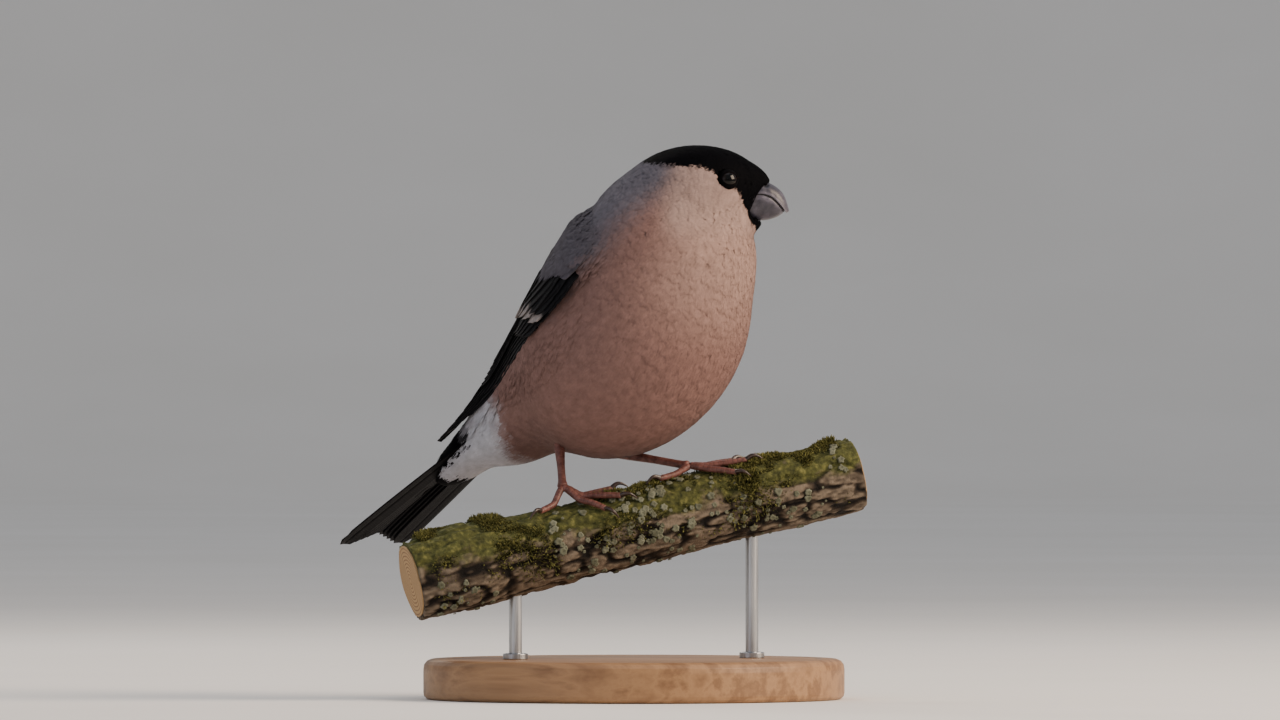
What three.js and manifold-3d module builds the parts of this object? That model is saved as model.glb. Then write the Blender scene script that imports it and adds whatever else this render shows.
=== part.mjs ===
// A hen bullfinch at life size, perched on a short cut length of branch that a plain display stand holds up.
// Millimetres, +Z up. The breast faces +X and the bird's left side is +Y; the head is turned to its left.
// The origin is the middle of the stand's underside, and the perch crosses the Z axis.
import * as THREE from 'three';
import { mergeVertices } from 'three/addons/utils/BufferGeometryUtils.js';
import Module from 'manifold-3d';

const wasm = await Module();
wasm.setup();

const { Vector2, Vector3, MathUtils } = THREE;
const vec = (x, y, z) => new Vector3(x, y, z);
const { lerp, clamp, degToRad, smoothstep } = MathUtils;

// Clearance kept between neighbouring pieces.
const GAP = 0.3;
const LEFT = 1;
const RIGHT = -1;

// Soft masses that blend into the outline of the plumage: half sizes run along, across and through each mass.
const BODY_MASSES = [
  { centre: [0.3, 0, 88.7], half: [33.3, 27.5, 24.4], pitch: 46, yaw: 0 }, // belly and flanks
  { centre: [6.4, 0.5, 106.2], half: [19.6, 23.5, 17.9], pitch: 58, yaw: 0 }, // breast
  { centre: [11.9, 1.5, 114.9], half: [14.6, 18.5, 19.0], pitch: 60, yaw: 20 }, // neck
  { centre: [20.1, 2.5, 127.2], half: [14.4, 12.6, 9.2], pitch: -5, yaw: 38 }, // head
  { centre: [-25.4, 0, 76.9], half: [24, 14, 12.5], pitch: 42, yaw: 0 }, // rump
  { centre: [-47, 0, 62.5], half: [17, 8, 4.5], pitch: 33, yaw: 0 }, // feathers under the tail
];
const BODY_BLEND = 9;
// Small tufts over the root of the bill and under it, as [ahead, aside, above] in the head's frame.
const BILL_TUFTS = [
  { centre: [12.2, 0, 3.5], half: [4.4, 3.9, 3.3], pitch: -34, yaw: 38 }, // nostril feathers
  { centre: [10.4, 0, -6.7], half: [4.2, 3.5, 2.5], pitch: 25, yaw: 38 }, // bib
];
const TUFT_BLEND = 2.2;
// Where the closed tail lies, so that the wing tips pass clear over it.
const TAIL_MASS = { centre: [-58, 0, 56], half: [30, 11, 3.5], pitch: 34, yaw: 0 };
const TAIL_BLEND = 6;
// Space that the body's field is searched in, and the size of its facets on each stretch.
const BODY_LOW = vec(-70, -34, 44);
const BODY_HIGH = vec(42, 34, 146);
const FACET = { head: 2.1, neck: 3.4, torso: 4.2, tail: 3 };

// Curve through the body's middle plane from the tail tip to the neck.
const SPINE = new THREE.QuadraticBezierCurve3(vec(-82, 0, 39.5), vec(-20, 0, 75), vec(14, 0, 117));

// Cuts that part the nodes: under the nape and throat, over the shoulders, and ahead of the tail feathers.
const HEAD_CUT = { point: vec(14, 2.5, 125), pitch: 57.5, yaw: 38 };
const NECK_CUT = { point: vec(6, 0, 112), pitch: 70, yaw: 0 };
const TAIL_CUT = { point: vec(-36.9, 0, 68.9), pitch: 37, yaw: 0 };

// The head's own frame: a point inside the skull, and the way the bill points.
const HEAD_CENTRE = vec(20.1, 2.5, 124);
const HEAD_YAW = 38;

// Eye, as [ahead, above] in the head's frame.
const EYE = { place: [6.0, 4.1], radius: 2.7, showing: 1.1, sides: 14, rings: 10 };
const LID = { radius: 2.25, tube: 0.42, sides: 14, tubeSides: 5 };

// Bill outlines in profile, as [ahead, above] points in the head's frame.
const BILL = {
  culmen: [[8, 4.4], [13, 4.2], [16.7, 2.9], [19.4, 0.5], [20.9, -3.7]],
  mouth: [[8, -0.2], [13, 0.6], [16.2, 0], [18.5, -2], [20.2, -4.2]],
  mouthBelow: [[8, -0.5], [13, 0.3], [16, -0.4], [18, -2.1], [19.4, -3.7]],
  underside: [[8, -5.4], [12, -5.9], [15, -5.9], [17.6, -5.2], [19.3, -4.2]],
  halfWidth: 4.3,
  tipHalfWidth: 0.5,
  widthPower: 2.6,
  archPower: 0.85,
  clearance: 0.4,
  stations: 9,
  archSides: 8,
};
const NOSTRIL = { place: [15.2, 2.6], aside: 2.6, radius: 0.5, stretch: 1.5, depth: 1, sides: 8, rings: 6 };

// Tail feathers: six on each side, the middle pair on top, and each outer pair a step lower and longer.
const TAIL = {
  root: vec(-41, 0, 67.1),
  fall: 34,
  length: 50.5,
  perSide: 6,
  halfWidth: [2.4, 3.4, 3.9, 4, 3.3, 1.5],
  rootAside: [0.9, 0.85],
  tipAside: [1.4, 1.85],
  stack: 0.42,
  crossed: 0.2,
  notch: 0.75,
  thickness: 0.6,
  camber: 0.12,
  droop: 1.2,
  stations: [0, 0.3, 0.6, 0.85, 0.97, 1],
};

// Folded wing. Places run from 0 at the wrist to 1 at the wing tip, and from 0 at the lower edge to 1 at the
// upper edge. The edges are given as degrees round from the middle of the back, at even steps along the wing.
const WING = {
  wristAt: 0.9,
  tipAt: 0.257,
  lowerEdge: [89, 91, 87, 76, 68, 54],
  upperEdge: [44, 30, 22, 22, 34, 43],
  length: 81,
  plateFrom: 0.06,
  plateTo: 0.6,
  plateAbove: 0.4,
  plateBelow: 1.6,
  plateSteps: [9, 5],
  frontWidth: 0.6,
  frontTaper: 0.35,
  pocketAbove: 9,
};

// One wing feather: widths at even steps from root to tip, the share of its length over which it rises out of
// the plate, and where its shaft runs.
const VANE = {
  stations: [0, 0.3, 0.62, 0.86, 1],
  widths: [0.6, 0.95, 1, 0.85, 0.3],
  thickness: 0.62,
  sunk: 0.5,
  rises: [-0.1, 0.3],
  shaftAt: -0.2,
  shaftRise: 0.12,
};

// Feather groups of the wing, each from its lowest feather to its highest: where roots and tips lie along and
// across the wing, the half width in the middle, and the height over the body with its rise at each feather.
const WING_FEATHERS = [
  // Primaries.
  {
    count: 6, halfWidth: 2.3, lift: 1.0, rise: 0.13, tilt: 0.36,
    rootAlong: [0.34, 0.3], rootAcross: [0.08, 0.4], tipAcross: [0.2, 0.85],
    tipAlong: [0.95, 1, 0.975, 0.92, 0.865, 0.81],
  },
  // Secondaries.
  {
    count: 4, halfWidth: 2.7, lift: 1.9, rise: 0.1, tilt: 0.34,
    rootAlong: [0.28, 0.26], rootAcross: [0.46, 0.68], tipAcross: [0.42, 0.72],
    tipAlong: [0.74, 0.72, 0.7, 0.68],
  },
  // Tertials.
  {
    count: 3, halfWidth: 3.1, lift: 2.35, rise: 0.12, tilt: 0.34,
    rootAlong: [0.27, 0.25], rootAcross: [0.72, 0.87], tipAcross: [0.78, 0.95],
    tipAlong: [0.67, 0.61, 0.54],
  },
  // Primary coverts.
  {
    count: 2, halfWidth: 2.2, lift: 1.75, rise: 0.15, tilt: 0.3,
    rootAlong: [0.17, 0.17], rootAcross: [0.2, 0.26], tipAcross: [0.1, 0.2],
    tipAlong: [0.4, 0.43],
  },
  // Greater coverts.
  {
    count: 5, halfWidth: 3.4, lift: 2.6, rise: 0.12, tilt: 0.4,
    rootAlong: [0.13, 0.17], rootAcross: [0.28, 0.66], tipAcross: [0.22, 0.92],
    tipAlong: [0.34, 0.39, 0.44, 0.47, 0.5],
  },
  // Alula.
  {
    count: 1, halfWidth: 2.0, lift: 2.5, rise: 0, tilt: 0.25,
    rootAlong: [0.1, 0.1], rootAcross: [0.28, 0.28], tipAcross: [0.1, 0.1],
    tipAlong: [0.26],
  },
];

// Perch: a cut length of branch over the origin, turned from +X, and climbing away from the tail.
const PERCH = {
  length: 116,
  radius: 9.6,
  middle: vec(0, 0, 42.4),
  turn: 53,
  climb: 13,
  rings: 20,
  sides: 14,
  taper: 0.006,
  knot: { along: -44, swell: 1.6, back: 0.2, reach: 9, towards: 1 },
  // Height, ridges round the branch, and twist of each set of ridges.
  ridges: [[0.16, 3, 9], [0.14, 5, -6]],
};
const ROD = { radius: 1.6, sides: 14, along: 31, sunkAbove: 6, sunkBelow: 6 };
const BASE = { radius: 52, thickness: 10, bevel: 2, sides: 36 };

// Legs and feet: where each foot stands along the perch, how high its joint rides over the bark, and where
// the shank leaves the belly. Toes are given as the way they point, in degrees (0 along the perch, 90 over
// its near side), and as their length.
const SHANK = { radius: 0.95, rootRadius: 1.2, swells: [0.35, 0.8], sides: 8, sunk: 4, stations: 4 };
const FOOT_JOINT = { radius: 1.3, sides: 10, rings: 8 };
const LEGS = {
  right: {
    along: -15.5,
    jointOver: 4.0,
    leaves: vec(-14.5, -11, 60),
    toes: [[2, 12], [27, 14], [52, 12]],
    hind: [150, 9],
  },
  left: {
    along: 17.3,
    jointOver: 1.9,
    leaves: vec(-9.2, 9, 60.2),
    toes: [[-14, 12], [12, 14], [38, 12]],
    hind: [165, 9],
  },
};
const TOE = {
  radius: 0.85,
  taper: 0.18,
  pad: 0.06,
  padTurn: 30,
  settles: 5,
  claw: 4.2,
  clawRadius: 0.55,
  clawTip: 0.16,
  clawArch: 1.1,
  clawDip: 0.35,
  points: 8,
  sides: 6,
  stations: 7,
};

// Colours, roughness and metalness of the finishes.
function finish(color, roughness, metalness = 0) {
  return new THREE.MeshStandardMaterial({ color, roughness, metalness });
}

const BLACK_PLUMAGE = finish(0x15141a, 0.55);
const GREY_PLUMAGE = finish(0x7c7675, 0.85);
const BREAST_PLUMAGE = finish(0x9a7468, 0.85);
const EYE_GLOSS = finish(0x0b0908, 0.08);
const HORN = finish(0x5f5d63, 0.4);
const SHANK_SKIN = finish(0x8a5148, 0.5);
const BARK = finish(0x5d5f3c, 0.95);
const OILED_WOOD = finish(0x8a6a4a, 0.6);
const BRUSHED_STEEL = finish(0xb9bbbd, 0.3, 1);

// A smooth curve of one value through keys at even steps, read from 0 to 1.
function profile(keys) {
  const curve = new THREE.SplineCurve(keys.map((value, step) => new Vector2(step, value)));
  return (at) => curve.getPoint(clamp(at, 0, 1)).y;
}

// A direction from degrees above the floor and degrees round from +X.
function heading(pitch, yaw) {
  const level = Math.cos(degToRad(pitch));
  return vec(level * Math.cos(degToRad(yaw)), level * Math.sin(degToRad(yaw)), Math.sin(degToRad(pitch)));
}

// A closed surface from corners and triangles, turned so that its faces point outwards.
function closedSurface(corners, triangles) {
  const volume = triangles.reduce((sum, [a, b, c]) => {
    return sum + corners[a].dot(new Vector3().crossVectors(corners[b], corners[c]));
  }, 0);
  const index = triangles.flatMap(([a, b, c]) => (volume > 0 ? [a, b, c] : [a, c, b]));
  return new THREE.BufferGeometry().setFromPoints(corners).setIndex(index);
}

// A closed mesh as a solid that can be joined and cut.
function solidOf(geometry) {
  const bare = new THREE.BufferGeometry().setAttribute('position', geometry.getAttribute('position'));
  bare.setIndex(geometry.getIndex());
  const merged = mergeVertices(bare, 1e-4);
  const triVerts = [];
  for (let i = 0; i < merged.index.count; i += 3) {
    const [a, b, c] = merged.index.array.subarray(i, i + 3);
    if (a !== b && b !== c && c !== a) triVerts.push(a, b, c);
  }
  const vertProperties = merged.getAttribute('position').array;
  const mesh = new wasm.Mesh({ numProp: 3, vertProperties, triVerts: new Uint32Array(triVerts) });
  return new wasm.Manifold(mesh);
}

// The largest closed body of a solid, as a mesh again.
function geometryOf(solid) {
  const [largest] = solid.decompose().sort((a, b) => b.volume() - a.volume());
  const { vertProperties, triVerts } = largest.getMesh();
  return new THREE.BufferGeometry()
    .setAttribute('position', new THREE.BufferAttribute(vertProperties, 3))
    .setIndex(new THREE.BufferAttribute(triVerts, 1));
}

const join = (solids) => solids.reduce((whole, piece) => whole.add(piece));

// A block that fills all space on the side of a plane that it faces away from.
function behindPlane({ point, pitch, yaw }, shift) {
  const reach = 400;
  const normal = heading(pitch, yaw);
  const block = new THREE.BoxGeometry(reach, reach, reach).translate(0, 0, -reach / 2);
  block.applyQuaternion(new THREE.Quaternion().setFromUnitVectors(vec(0, 0, 1), normal));
  block.translate(...point.clone().addScaledVector(normal, shift));
  return solidOf(block);
}

// Joins rings of points into a closed body, with flat ends. Every ring holds the same number of points.
function loft(rings) {
  const count = rings[0].length;
  const corners = rings.flat();
  const triangles = [];
  for (let ring = 0; ring + 1 < rings.length; ring++) {
    for (let i = 0; i < count; i++) {
      const a = ring * count + i;
      const b = ring * count + ((i + 1) % count);
      triangles.push([a, b, b + count], [a, b + count, a + count]);
    }
  }
  for (const start of [0, (rings.length - 1) * count]) {
    const centre = corners.length;
    const ring = corners.slice(start, start + count);
    corners.push(ring.reduce((sum, p) => sum.add(p), vec(0, 0, 0)).divideScalar(count));
    for (let i = 0; i < count; i++) {
      const next = (i + 1) % count;
      triangles.push(start ? [start + i, start + next, centre] : [start + next, start + i, centre]);
    }
  }
  return closedSurface(corners, triangles);
}

// A round rod or tapering tube along a curve of points, with a radius for each place from 0 to 1.
function tube(points, radiusAt, sides, stations) {
  const curve = new THREE.CatmullRomCurve3(points);
  const frames = curve.computeFrenetFrames(stations, false);
  const rings = frames.tangents.map((_, k) => {
    const centre = curve.getPointAt(k / stations);
    return Array.from({ length: sides }, (_, i) => {
      const turn = (2 * Math.PI * i) / sides;
      const out = frames.normals[k].clone().multiplyScalar(Math.cos(turn));
      out.addScaledVector(frames.binormals[k], Math.sin(turn));
      return centre.clone().addScaledVector(out, radiusAt(k / stations));
    });
  });
  return loft(rings);
}

// One flat tapering feather: six corners at each station, upper face first, and both faces split alike.
function vane(stationCount, cornerRing) {
  const rings = Array.from({ length: stationCount }, (_, k) => cornerRing(k));
  const corners = rings.flat();
  const triangles = [];
  const quad = (a, b, c, d) => triangles.push([a, b, c], [a, c, d]);
  for (let k = 0; k + 1 < stationCount; k++) {
    const near = 6 * k;
    const far = near + 6;
    quad(near, near + 1, far + 1, far);
    quad(near + 1, near + 2, far + 2, far + 1);
    quad(near + 2, near + 3, far + 3, far + 2);
    triangles.push([near + 4, far + 4, near + 3], [near + 3, far + 4, far + 3]);
    triangles.push([near + 5, far + 5, near + 4], [near + 4, far + 5, far + 4]);
    quad(near + 5, near, far, far + 5);
  }
  const end = 6 * (stationCount - 1);
  for (const [start, flip] of [[0, true], [end, false]]) {
    for (const [a, b, c, d] of [[0, 1, 4, 5], [1, 2, 3, 4]]) {
      const cap = flip ? [[a, c, b], [a, d, c]] : [[a, b, c], [a, c, d]];
      cap.forEach((triangle) => triangles.push(triangle.map((corner) => corner + start)));
    }
  }
  return closedSurface(corners, triangles);
}

// The plumage as a field: below zero inside, above zero outside, and close to a distance near the surface.
function makeMass({ centre, half, pitch, yaw }) {
  const along = heading(pitch, yaw);
  const across = heading(0, yaw + 90);
  return { centre: vec(...centre), half, axes: [along, across, new Vector3().crossVectors(along, across)] };
}

const offset = vec(0, 0, 0);
function distanceTo(mass, place) {
  offset.subVectors(place, mass.centre);
  let scaled = 0;
  let slope = 0;
  mass.axes.forEach((axis, i) => {
    const part = offset.dot(axis) / mass.half[i];
    scaled += part * part;
    slope += (part / mass.half[i]) ** 2;
  });
  return (Math.sqrt(scaled) * (Math.sqrt(scaled) - 1)) / Math.sqrt(slope + 1e-12);
}

function smoothUnion(a, b, blend) {
  const share = clamp(0.5 + (0.5 * (b - a)) / blend, 0, 1);
  return lerp(b, a, share) - blend * share * (1 - share);
}

const fromHead = ([forward, aside, above]) => HEAD_CENTRE.clone()
  .addScaledVector(heading(0, HEAD_YAW), forward)
  .addScaledVector(heading(0, HEAD_YAW + 90), aside)
  .add(vec(0, 0, above));

const bodyMasses = BODY_MASSES.map(makeMass);
const billTufts = BILL_TUFTS.map((tuft) => makeMass({ ...tuft, centre: fromHead(tuft.centre) }));
const tailMass = makeMass(TAIL_MASS);

function bodyField(place) {
  const gaps = bodyMasses.map((mass) => distanceTo(mass, place));
  const trunk = gaps.reduce((a, b) => smoothUnion(a, b, BODY_BLEND));
  return billTufts.reduce((whole, tuft) => smoothUnion(whole, distanceTo(tuft, place), TUFT_BLEND), trunk);
}

const guideField = (place) => smoothUnion(bodyField(place), distanceTo(tailMass, place), TAIL_BLEND);

function slopeOf(field, place) {
  const step = 0.05;
  const slope = ['x', 'y', 'z'].map((axis) => {
    const ahead = place.clone();
    const behind = place.clone();
    ahead[axis] += step;
    behind[axis] -= step;
    return (field(ahead) - field(behind)) / (2 * step);
  });
  return vec(...slope);
}

// Wraps a closed skin round the field's zero level, with one point in each cell that the surface crosses.
function skinOf(field, low, high, cell) {
  const [nx, ny, nz] = high.clone().sub(low).divideScalar(cell).ceil().addScalar(1).toArray();
  const steps = [1, nx, nx * ny];
  const value = new Float64Array(nx * ny * nz);
  const placeOf = (i, j, k) => vec(i, j, k).multiplyScalar(cell).add(low);
  const everyCell = (visit) => {
    for (let at = 0; at < value.length; at++) {
      visit(at % nx, Math.floor(at / nx) % ny, Math.floor(at / (nx * ny)), at);
    }
  };
  everyCell((i, j, k, at) => {
    value[at] = field(placeOf(i, j, k));
  });

  const points = [];
  const pointOf = new Map();
  const inside = (at) => value[at] < 0;
  everyCell((i, j, k, at) => {
    if (i + 1 >= nx || j + 1 >= ny || k + 1 >= nz) return;
    const sum = vec(0, 0, 0);
    let crossings = 0;
    steps.forEach((step, axis) => {
      const others = [0, 1, 2].filter((other) => other !== axis);
      for (const [a, b] of [[0, 0], [1, 0], [0, 1], [1, 1]]) {
        const from = at + a * steps[others[0]] + b * steps[others[1]];
        if (inside(from) === inside(from + step)) continue;
        const corner = [i, j, k];
        corner[others[0]] += a;
        corner[others[1]] += b;
        corner[axis] += value[from] / (value[from] - value[from + step]);
        sum.add(placeOf(...corner));
        crossings++;
      }
    });
    if (!crossings) return;
    const point = sum.divideScalar(crossings);
    for (let round = 0; round < 2; round++) {
      const slope = slopeOf(field, point);
      point.addScaledVector(slope, -field(point) / slope.lengthSq());
    }
    pointOf.set(at, points.push(point) - 1);
  });

  const triangles = [];
  everyCell((i, j, k, at) => {
    steps.forEach((step, axis) => {
      const far = at + step;
      if ([i, j, k][axis] + 1 >= [nx, ny, nz][axis] || inside(at) === inside(far)) return;
      const [side, up] = [steps[(axis + 1) % 3], steps[(axis + 2) % 3]];
      const ring = [at, at - side, at - side - up, at - up].map((cellAt) => pointOf.get(cellAt));
      if (inside(far)) ring.reverse();
      const [a, b, c, d] = ring;
      const short = points[a].distanceTo(points[c]) <= points[b].distanceTo(points[d]);
      triangles.push(...(short ? [[a, b, c], [a, c, d]] : [[a, b, d], [b, c, d]]));
    });
  });
  return closedSurface(points, triangles);
}

// A place over the plumage: along the spine, degrees round from the back, and height over the surface.
function overBody(side, along, round, height) {
  const start = SPINE.getPoint(along);
  const tangent = SPINE.getTangent(along);
  const out = vec(-tangent.z, 0, tangent.x).multiplyScalar(Math.cos(degToRad(round)));
  out.y = side * Math.sin(degToRad(round));
  let [near, far] = [0, 60];
  for (let halving = 0; halving < 40; halving++) {
    const middle = (near + far) / 2;
    if (guideField(start.clone().addScaledVector(out, middle)) < height) near = middle;
    else far = middle;
  }
  return start.addScaledVector(out, near);
}

const lowerEdge = profile(WING.lowerEdge);
const upperEdge = profile(WING.upperEdge);

// A place on the folded wing, with a step aside in millimetres towards the upper edge.
function overWing(side, along, across, height, aside = 0) {
  const at = lerp(WING.wristAt, WING.tipAt, along);
  const round = lerp(lowerEdge(along), upperEdge(along), across);
  const radius = overBody(side, at, round, height).distanceTo(SPINE.getPoint(at));
  return overBody(side, at, round - MathUtils.radToDeg(aside / radius), height);
}

// The sheet of muscle and small feathers that carries the wing's vanes, or with grow the pocket for it.
function wingPlate(side, grow, above, below) {
  const [long, wide] = WING.plateSteps;
  const sheet = (height) => Array.from({ length: (long + 1) * (wide + 1) }, (_, i) => {
    const along = (i % (long + 1)) / long;
    const across = Math.floor(i / (long + 1)) / wide;
    const taper = lerp(WING.frontWidth, 1, smoothstep(along, 0, WING.frontTaper));
    const place = lerp(WING.plateFrom, WING.plateTo, along) + ((along - 0.5) * 2 * grow) / WING.length;
    return overWing(side, place, 0.5 + (across - 0.5) * taper, height, (across - 0.5) * 2 * grow);
  });
  const corners = [...sheet(above), ...sheet(-below)];
  const under = corners.length / 2;
  const triangles = [];
  const at = (i, j) => i + j * (long + 1);
  for (let j = 0; j < wide; j++) {
    for (let i = 0; i < long; i++) {
      const [a, b, c, d] = [at(i, j), at(i + 1, j), at(i + 1, j + 1), at(i, j + 1)];
      triangles.push([a, b, c], [a, c, d]);
      triangles.push([a + under, c + under, b + under], [a + under, d + under, c + under]);
    }
  }
  const rim = [];
  for (let i = 0; i < long; i++) rim.push(at(i, 0));
  for (let j = 0; j < wide; j++) rim.push(at(long, j));
  for (let i = long; i > 0; i--) rim.push(at(i, wide));
  for (let j = wide; j > 0; j--) rim.push(at(0, j));
  rim.forEach((a, i) => {
    const b = rim[(i + 1) % rim.length];
    triangles.push([b, a, a + under], [b, a + under, b + under]);
  });
  return solidOf(closedSurface(corners, triangles));
}

// One feather of a wing group, sunk in the plate at its root and lying clear over the body further on.
function wingVane(side, group, number) {
  const share = group.count > 1 ? number / (group.count - 1) : 0;
  const rootAlong = lerp(...group.rootAlong, share);
  const tipAlong = group.tipAlong[number];
  const widthAt = profile(VANE.widths);
  return solidOf(vane(VANE.stations.length, (k) => {
    const way = VANE.stations[k];
    const along = lerp(rootAlong, tipAlong, way);
    const across = lerp(lerp(...group.rootAcross, share), lerp(...group.tipAcross, share), way);
    const half = group.halfWidth * widthAt(way);
    const lifted = smoothstep(way, ...VANE.rises);
    const height = lerp(-VANE.sunk, group.lift + group.rise * number - VANE.thickness, lifted);
    const edgeRise = (group.tilt * half * lifted) / group.halfWidth;
    const under = (aside, rise) => overWing(side, along, across, height + rise, aside);
    const over = (aside, rise) => under(aside, rise + VANE.thickness);
    const shaft = VANE.shaftAt * half;
    return [
      over(-half, edgeRise), over(shaft, VANE.shaftRise), over(half, -edgeRise),
      under(half, -edgeRise), under(shaft, 0), under(-half, edgeRise),
    ];
  }));
}

function makeWing(side) {
  const feathers = WING_FEATHERS.flatMap((group) => {
    return Array.from({ length: group.count }, (_, number) => wingVane(side, group, number));
  });
  return join([wingPlate(side, 0, WING.plateAbove, WING.plateBelow), ...feathers]);
}

const wingPocket = (side) => wingPlate(side, GAP + 0.05, WING.pocketAbove, WING.plateBelow + GAP + 0.05);

// One tail feather, counted outwards from the middle.
function tailVane(side, number) {
  const run = heading(-TAIL.fall, 180);
  const up = heading(90 - TAIL.fall, 180);
  const widthAt = profile(TAIL.halfWidth);
  const length = TAIL.length + TAIL.notch * (number - TAIL.perSide + 1);
  const rootAside = TAIL.rootAside[0] + TAIL.rootAside[1] * number;
  const tipAside = TAIL.tipAside[0] + TAIL.tipAside[1] * number;
  const layer = TAIL.stack * number + (side === RIGHT ? TAIL.crossed : 0);
  return solidOf(vane(TAIL.stations.length, (k) => {
    const way = TAIL.stations[k];
    const sink = layer + TAIL.droop * way * way;
    const centre = TAIL.root.clone().addScaledVector(run, way * length).addScaledVector(up, -sink);
    centre.y = side * lerp(rootAside, tipAside, way);
    const half = widthAt(way);
    const over = (across, rise) => centre.clone().add(vec(0, side * across, 0)).addScaledVector(up, rise);
    const under = (across, rise) => over(across, rise - TAIL.thickness);
    const shaft = 0.2 * half;
    return [
      over(-half, -TAIL.camber), over(shaft, TAIL.camber), over(half, -TAIL.camber),
      under(half, -TAIL.camber), under(shaft, 0), under(-half, -TAIL.camber),
    ];
  }));
}

const tailVanes = () => [LEFT, RIGHT].flatMap((side) => {
  return Array.from({ length: TAIL.perSide }, (_, number) => tailVane(side, number));
});

// One half of the bill: arches that stand from the mouth's line to an outline, grown all round by grow.
function billHalf(mouth, outline, grow) {
  const curves = [mouth, outline].map((points) => {
    return new THREE.CatmullRomCurve3(points.map(([forward, above]) => vec(forward, 0, above)));
  });
  const rings = Array.from({ length: BILL.stations }, (_, k) => {
    const way = k / (BILL.stations - 1);
    const [low, high] = curves.map((curve) => curve.getPoint(way));
    const rise = high.clone().sub(low);
    const swell = grow / rise.length();
    const width = lerp(BILL.tipHalfWidth, BILL.halfWidth, Math.sqrt(1 - way ** BILL.widthPower)) + grow;
    return Array.from({ length: BILL.archSides + 1 }, (_, i) => {
      const turn = (Math.PI * i) / BILL.archSides;
      const stand = -swell + (1 + 2 * swell) * Math.sin(turn) ** BILL.archPower;
      const place = low.clone().addScaledVector(rise, stand);
      return fromHead([place.x - (k === 0 ? grow : 0), width * Math.cos(turn), place.z]);
    });
  });
  return solidOf(loft(rings));
}

// The middle of an eye, sunk so far that the named height shows over the plumage.
function eyePlace(side) {
  const [forward, above] = EYE.place;
  let [near, far] = [0, 20];
  for (let halving = 0; halving < 30; halving++) {
    const middle = (near + far) / 2;
    if (bodyField(fromHead([forward, side * middle, above])) < 0) near = middle;
    else far = middle;
  }
  const surface = fromHead([forward, side * near, above]);
  const normal = slopeOf(bodyField, surface).normalize();
  return { normal, centre: surface.addScaledVector(normal, EYE.showing - EYE.radius) };
}

function ball(radius, centre, sides, rings) {
  return new THREE.SphereGeometry(radius, sides, rings).translate(...centre);
}

function makeEye(side) {
  return solidOf(ball(EYE.radius, eyePlace(side).centre, EYE.sides, EYE.rings));
}

function eyeSocket(side) {
  return solidOf(ball(EYE.radius + GAP, eyePlace(side).centre, EYE.sides, EYE.rings));
}

function eyeLid(side) {
  const { centre, normal } = eyePlace(side);
  const ring = new THREE.TorusGeometry(LID.radius, LID.tube, LID.tubeSides, LID.sides);
  ring.applyQuaternion(new THREE.Quaternion().setFromUnitVectors(vec(0, 0, 1), normal));
  const out = Math.sqrt((EYE.radius + GAP) ** 2 - LID.radius ** 2);
  return solidOf(ring.translate(...centre.addScaledVector(normal, out)));
}

function nostril(side) {
  const [forward, above] = NOSTRIL.place;
  const pit = new THREE.SphereGeometry(1, NOSTRIL.sides, NOSTRIL.rings);
  pit.scale(NOSTRIL.stretch * NOSTRIL.radius, NOSTRIL.depth, NOSTRIL.radius);
  pit.rotateZ(degToRad(HEAD_YAW)).translate(...fromHead([forward, side * NOSTRIL.aside, above]));
  return solidOf(pit);
}

function makeUpperBill() {
  return billHalf(BILL.mouth, BILL.culmen, 0).subtract(join([LEFT, RIGHT].map(nostril)));
}

// The perch: its run, the way up square to it, and the side that the toes reach over.
const perchRun = heading(PERCH.climb, PERCH.turn);
const perchUp = heading(PERCH.climb + 90, PERCH.turn);
const perchSide = new Vector3().crossVectors(perchRun, perchUp);

function barkRadius(along, round) {
  const { radius, taper, knot, ridges } = PERCH;
  const near = Math.exp(-(((along - knot.along) / knot.reach) ** 2));
  const swell = knot.swell * near * lerp(knot.back, 1, (1 + Math.cos(round - knot.towards)) / 2);
  const ridged = ridges.reduce((sum, [height, count, twist]) => {
    return sum + height * Math.sin(count * round + along / twist);
  }, 0);
  return radius + swell + ridged - taper * along;
}

// A place over the bark: millimetres along the perch, an angle from its top over its near side, and a height.
function overPerch(along, round, height) {
  const out = perchUp.clone().multiplyScalar(Math.cos(round)).addScaledVector(perchSide, Math.sin(round));
  const axis = PERCH.middle.clone().addScaledVector(perchRun, along);
  return axis.addScaledVector(out, barkRadius(along, round) + height);
}

const rodFoot = (end) => PERCH.middle.clone().addScaledVector(perchRun, end * ROD.along).setZ(0);

// A stand's rod from inside the base up into the perch, or with grow the hole for it.
function standRod(end, grow) {
  const foot = rodFoot(end);
  const top = PERCH.middle.z + end * ROD.along * perchRun.z - PERCH.radius + ROD.sunkAbove + grow;
  const bottom = BASE.thickness - ROD.sunkBelow - grow;
  const rod = new THREE.CylinderGeometry(ROD.radius + grow, ROD.radius + grow, top - bottom, ROD.sides);
  rod.rotateX(Math.PI / 2).translate(foot.x, foot.y, (top + bottom) / 2);
  return solidOf(rod);
}

function makePerch() {
  const rings = Array.from({ length: PERCH.rings }, (_, k) => {
    const along = PERCH.length * (k / (PERCH.rings - 1) - 0.5);
    return Array.from({ length: PERCH.sides }, (_, i) => {
      return overPerch(along, (2 * Math.PI * i) / PERCH.sides, 0);
    });
  });
  return solidOf(loft(rings)).subtract(standRod(1, GAP)).subtract(standRod(-1, GAP));
}

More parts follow.
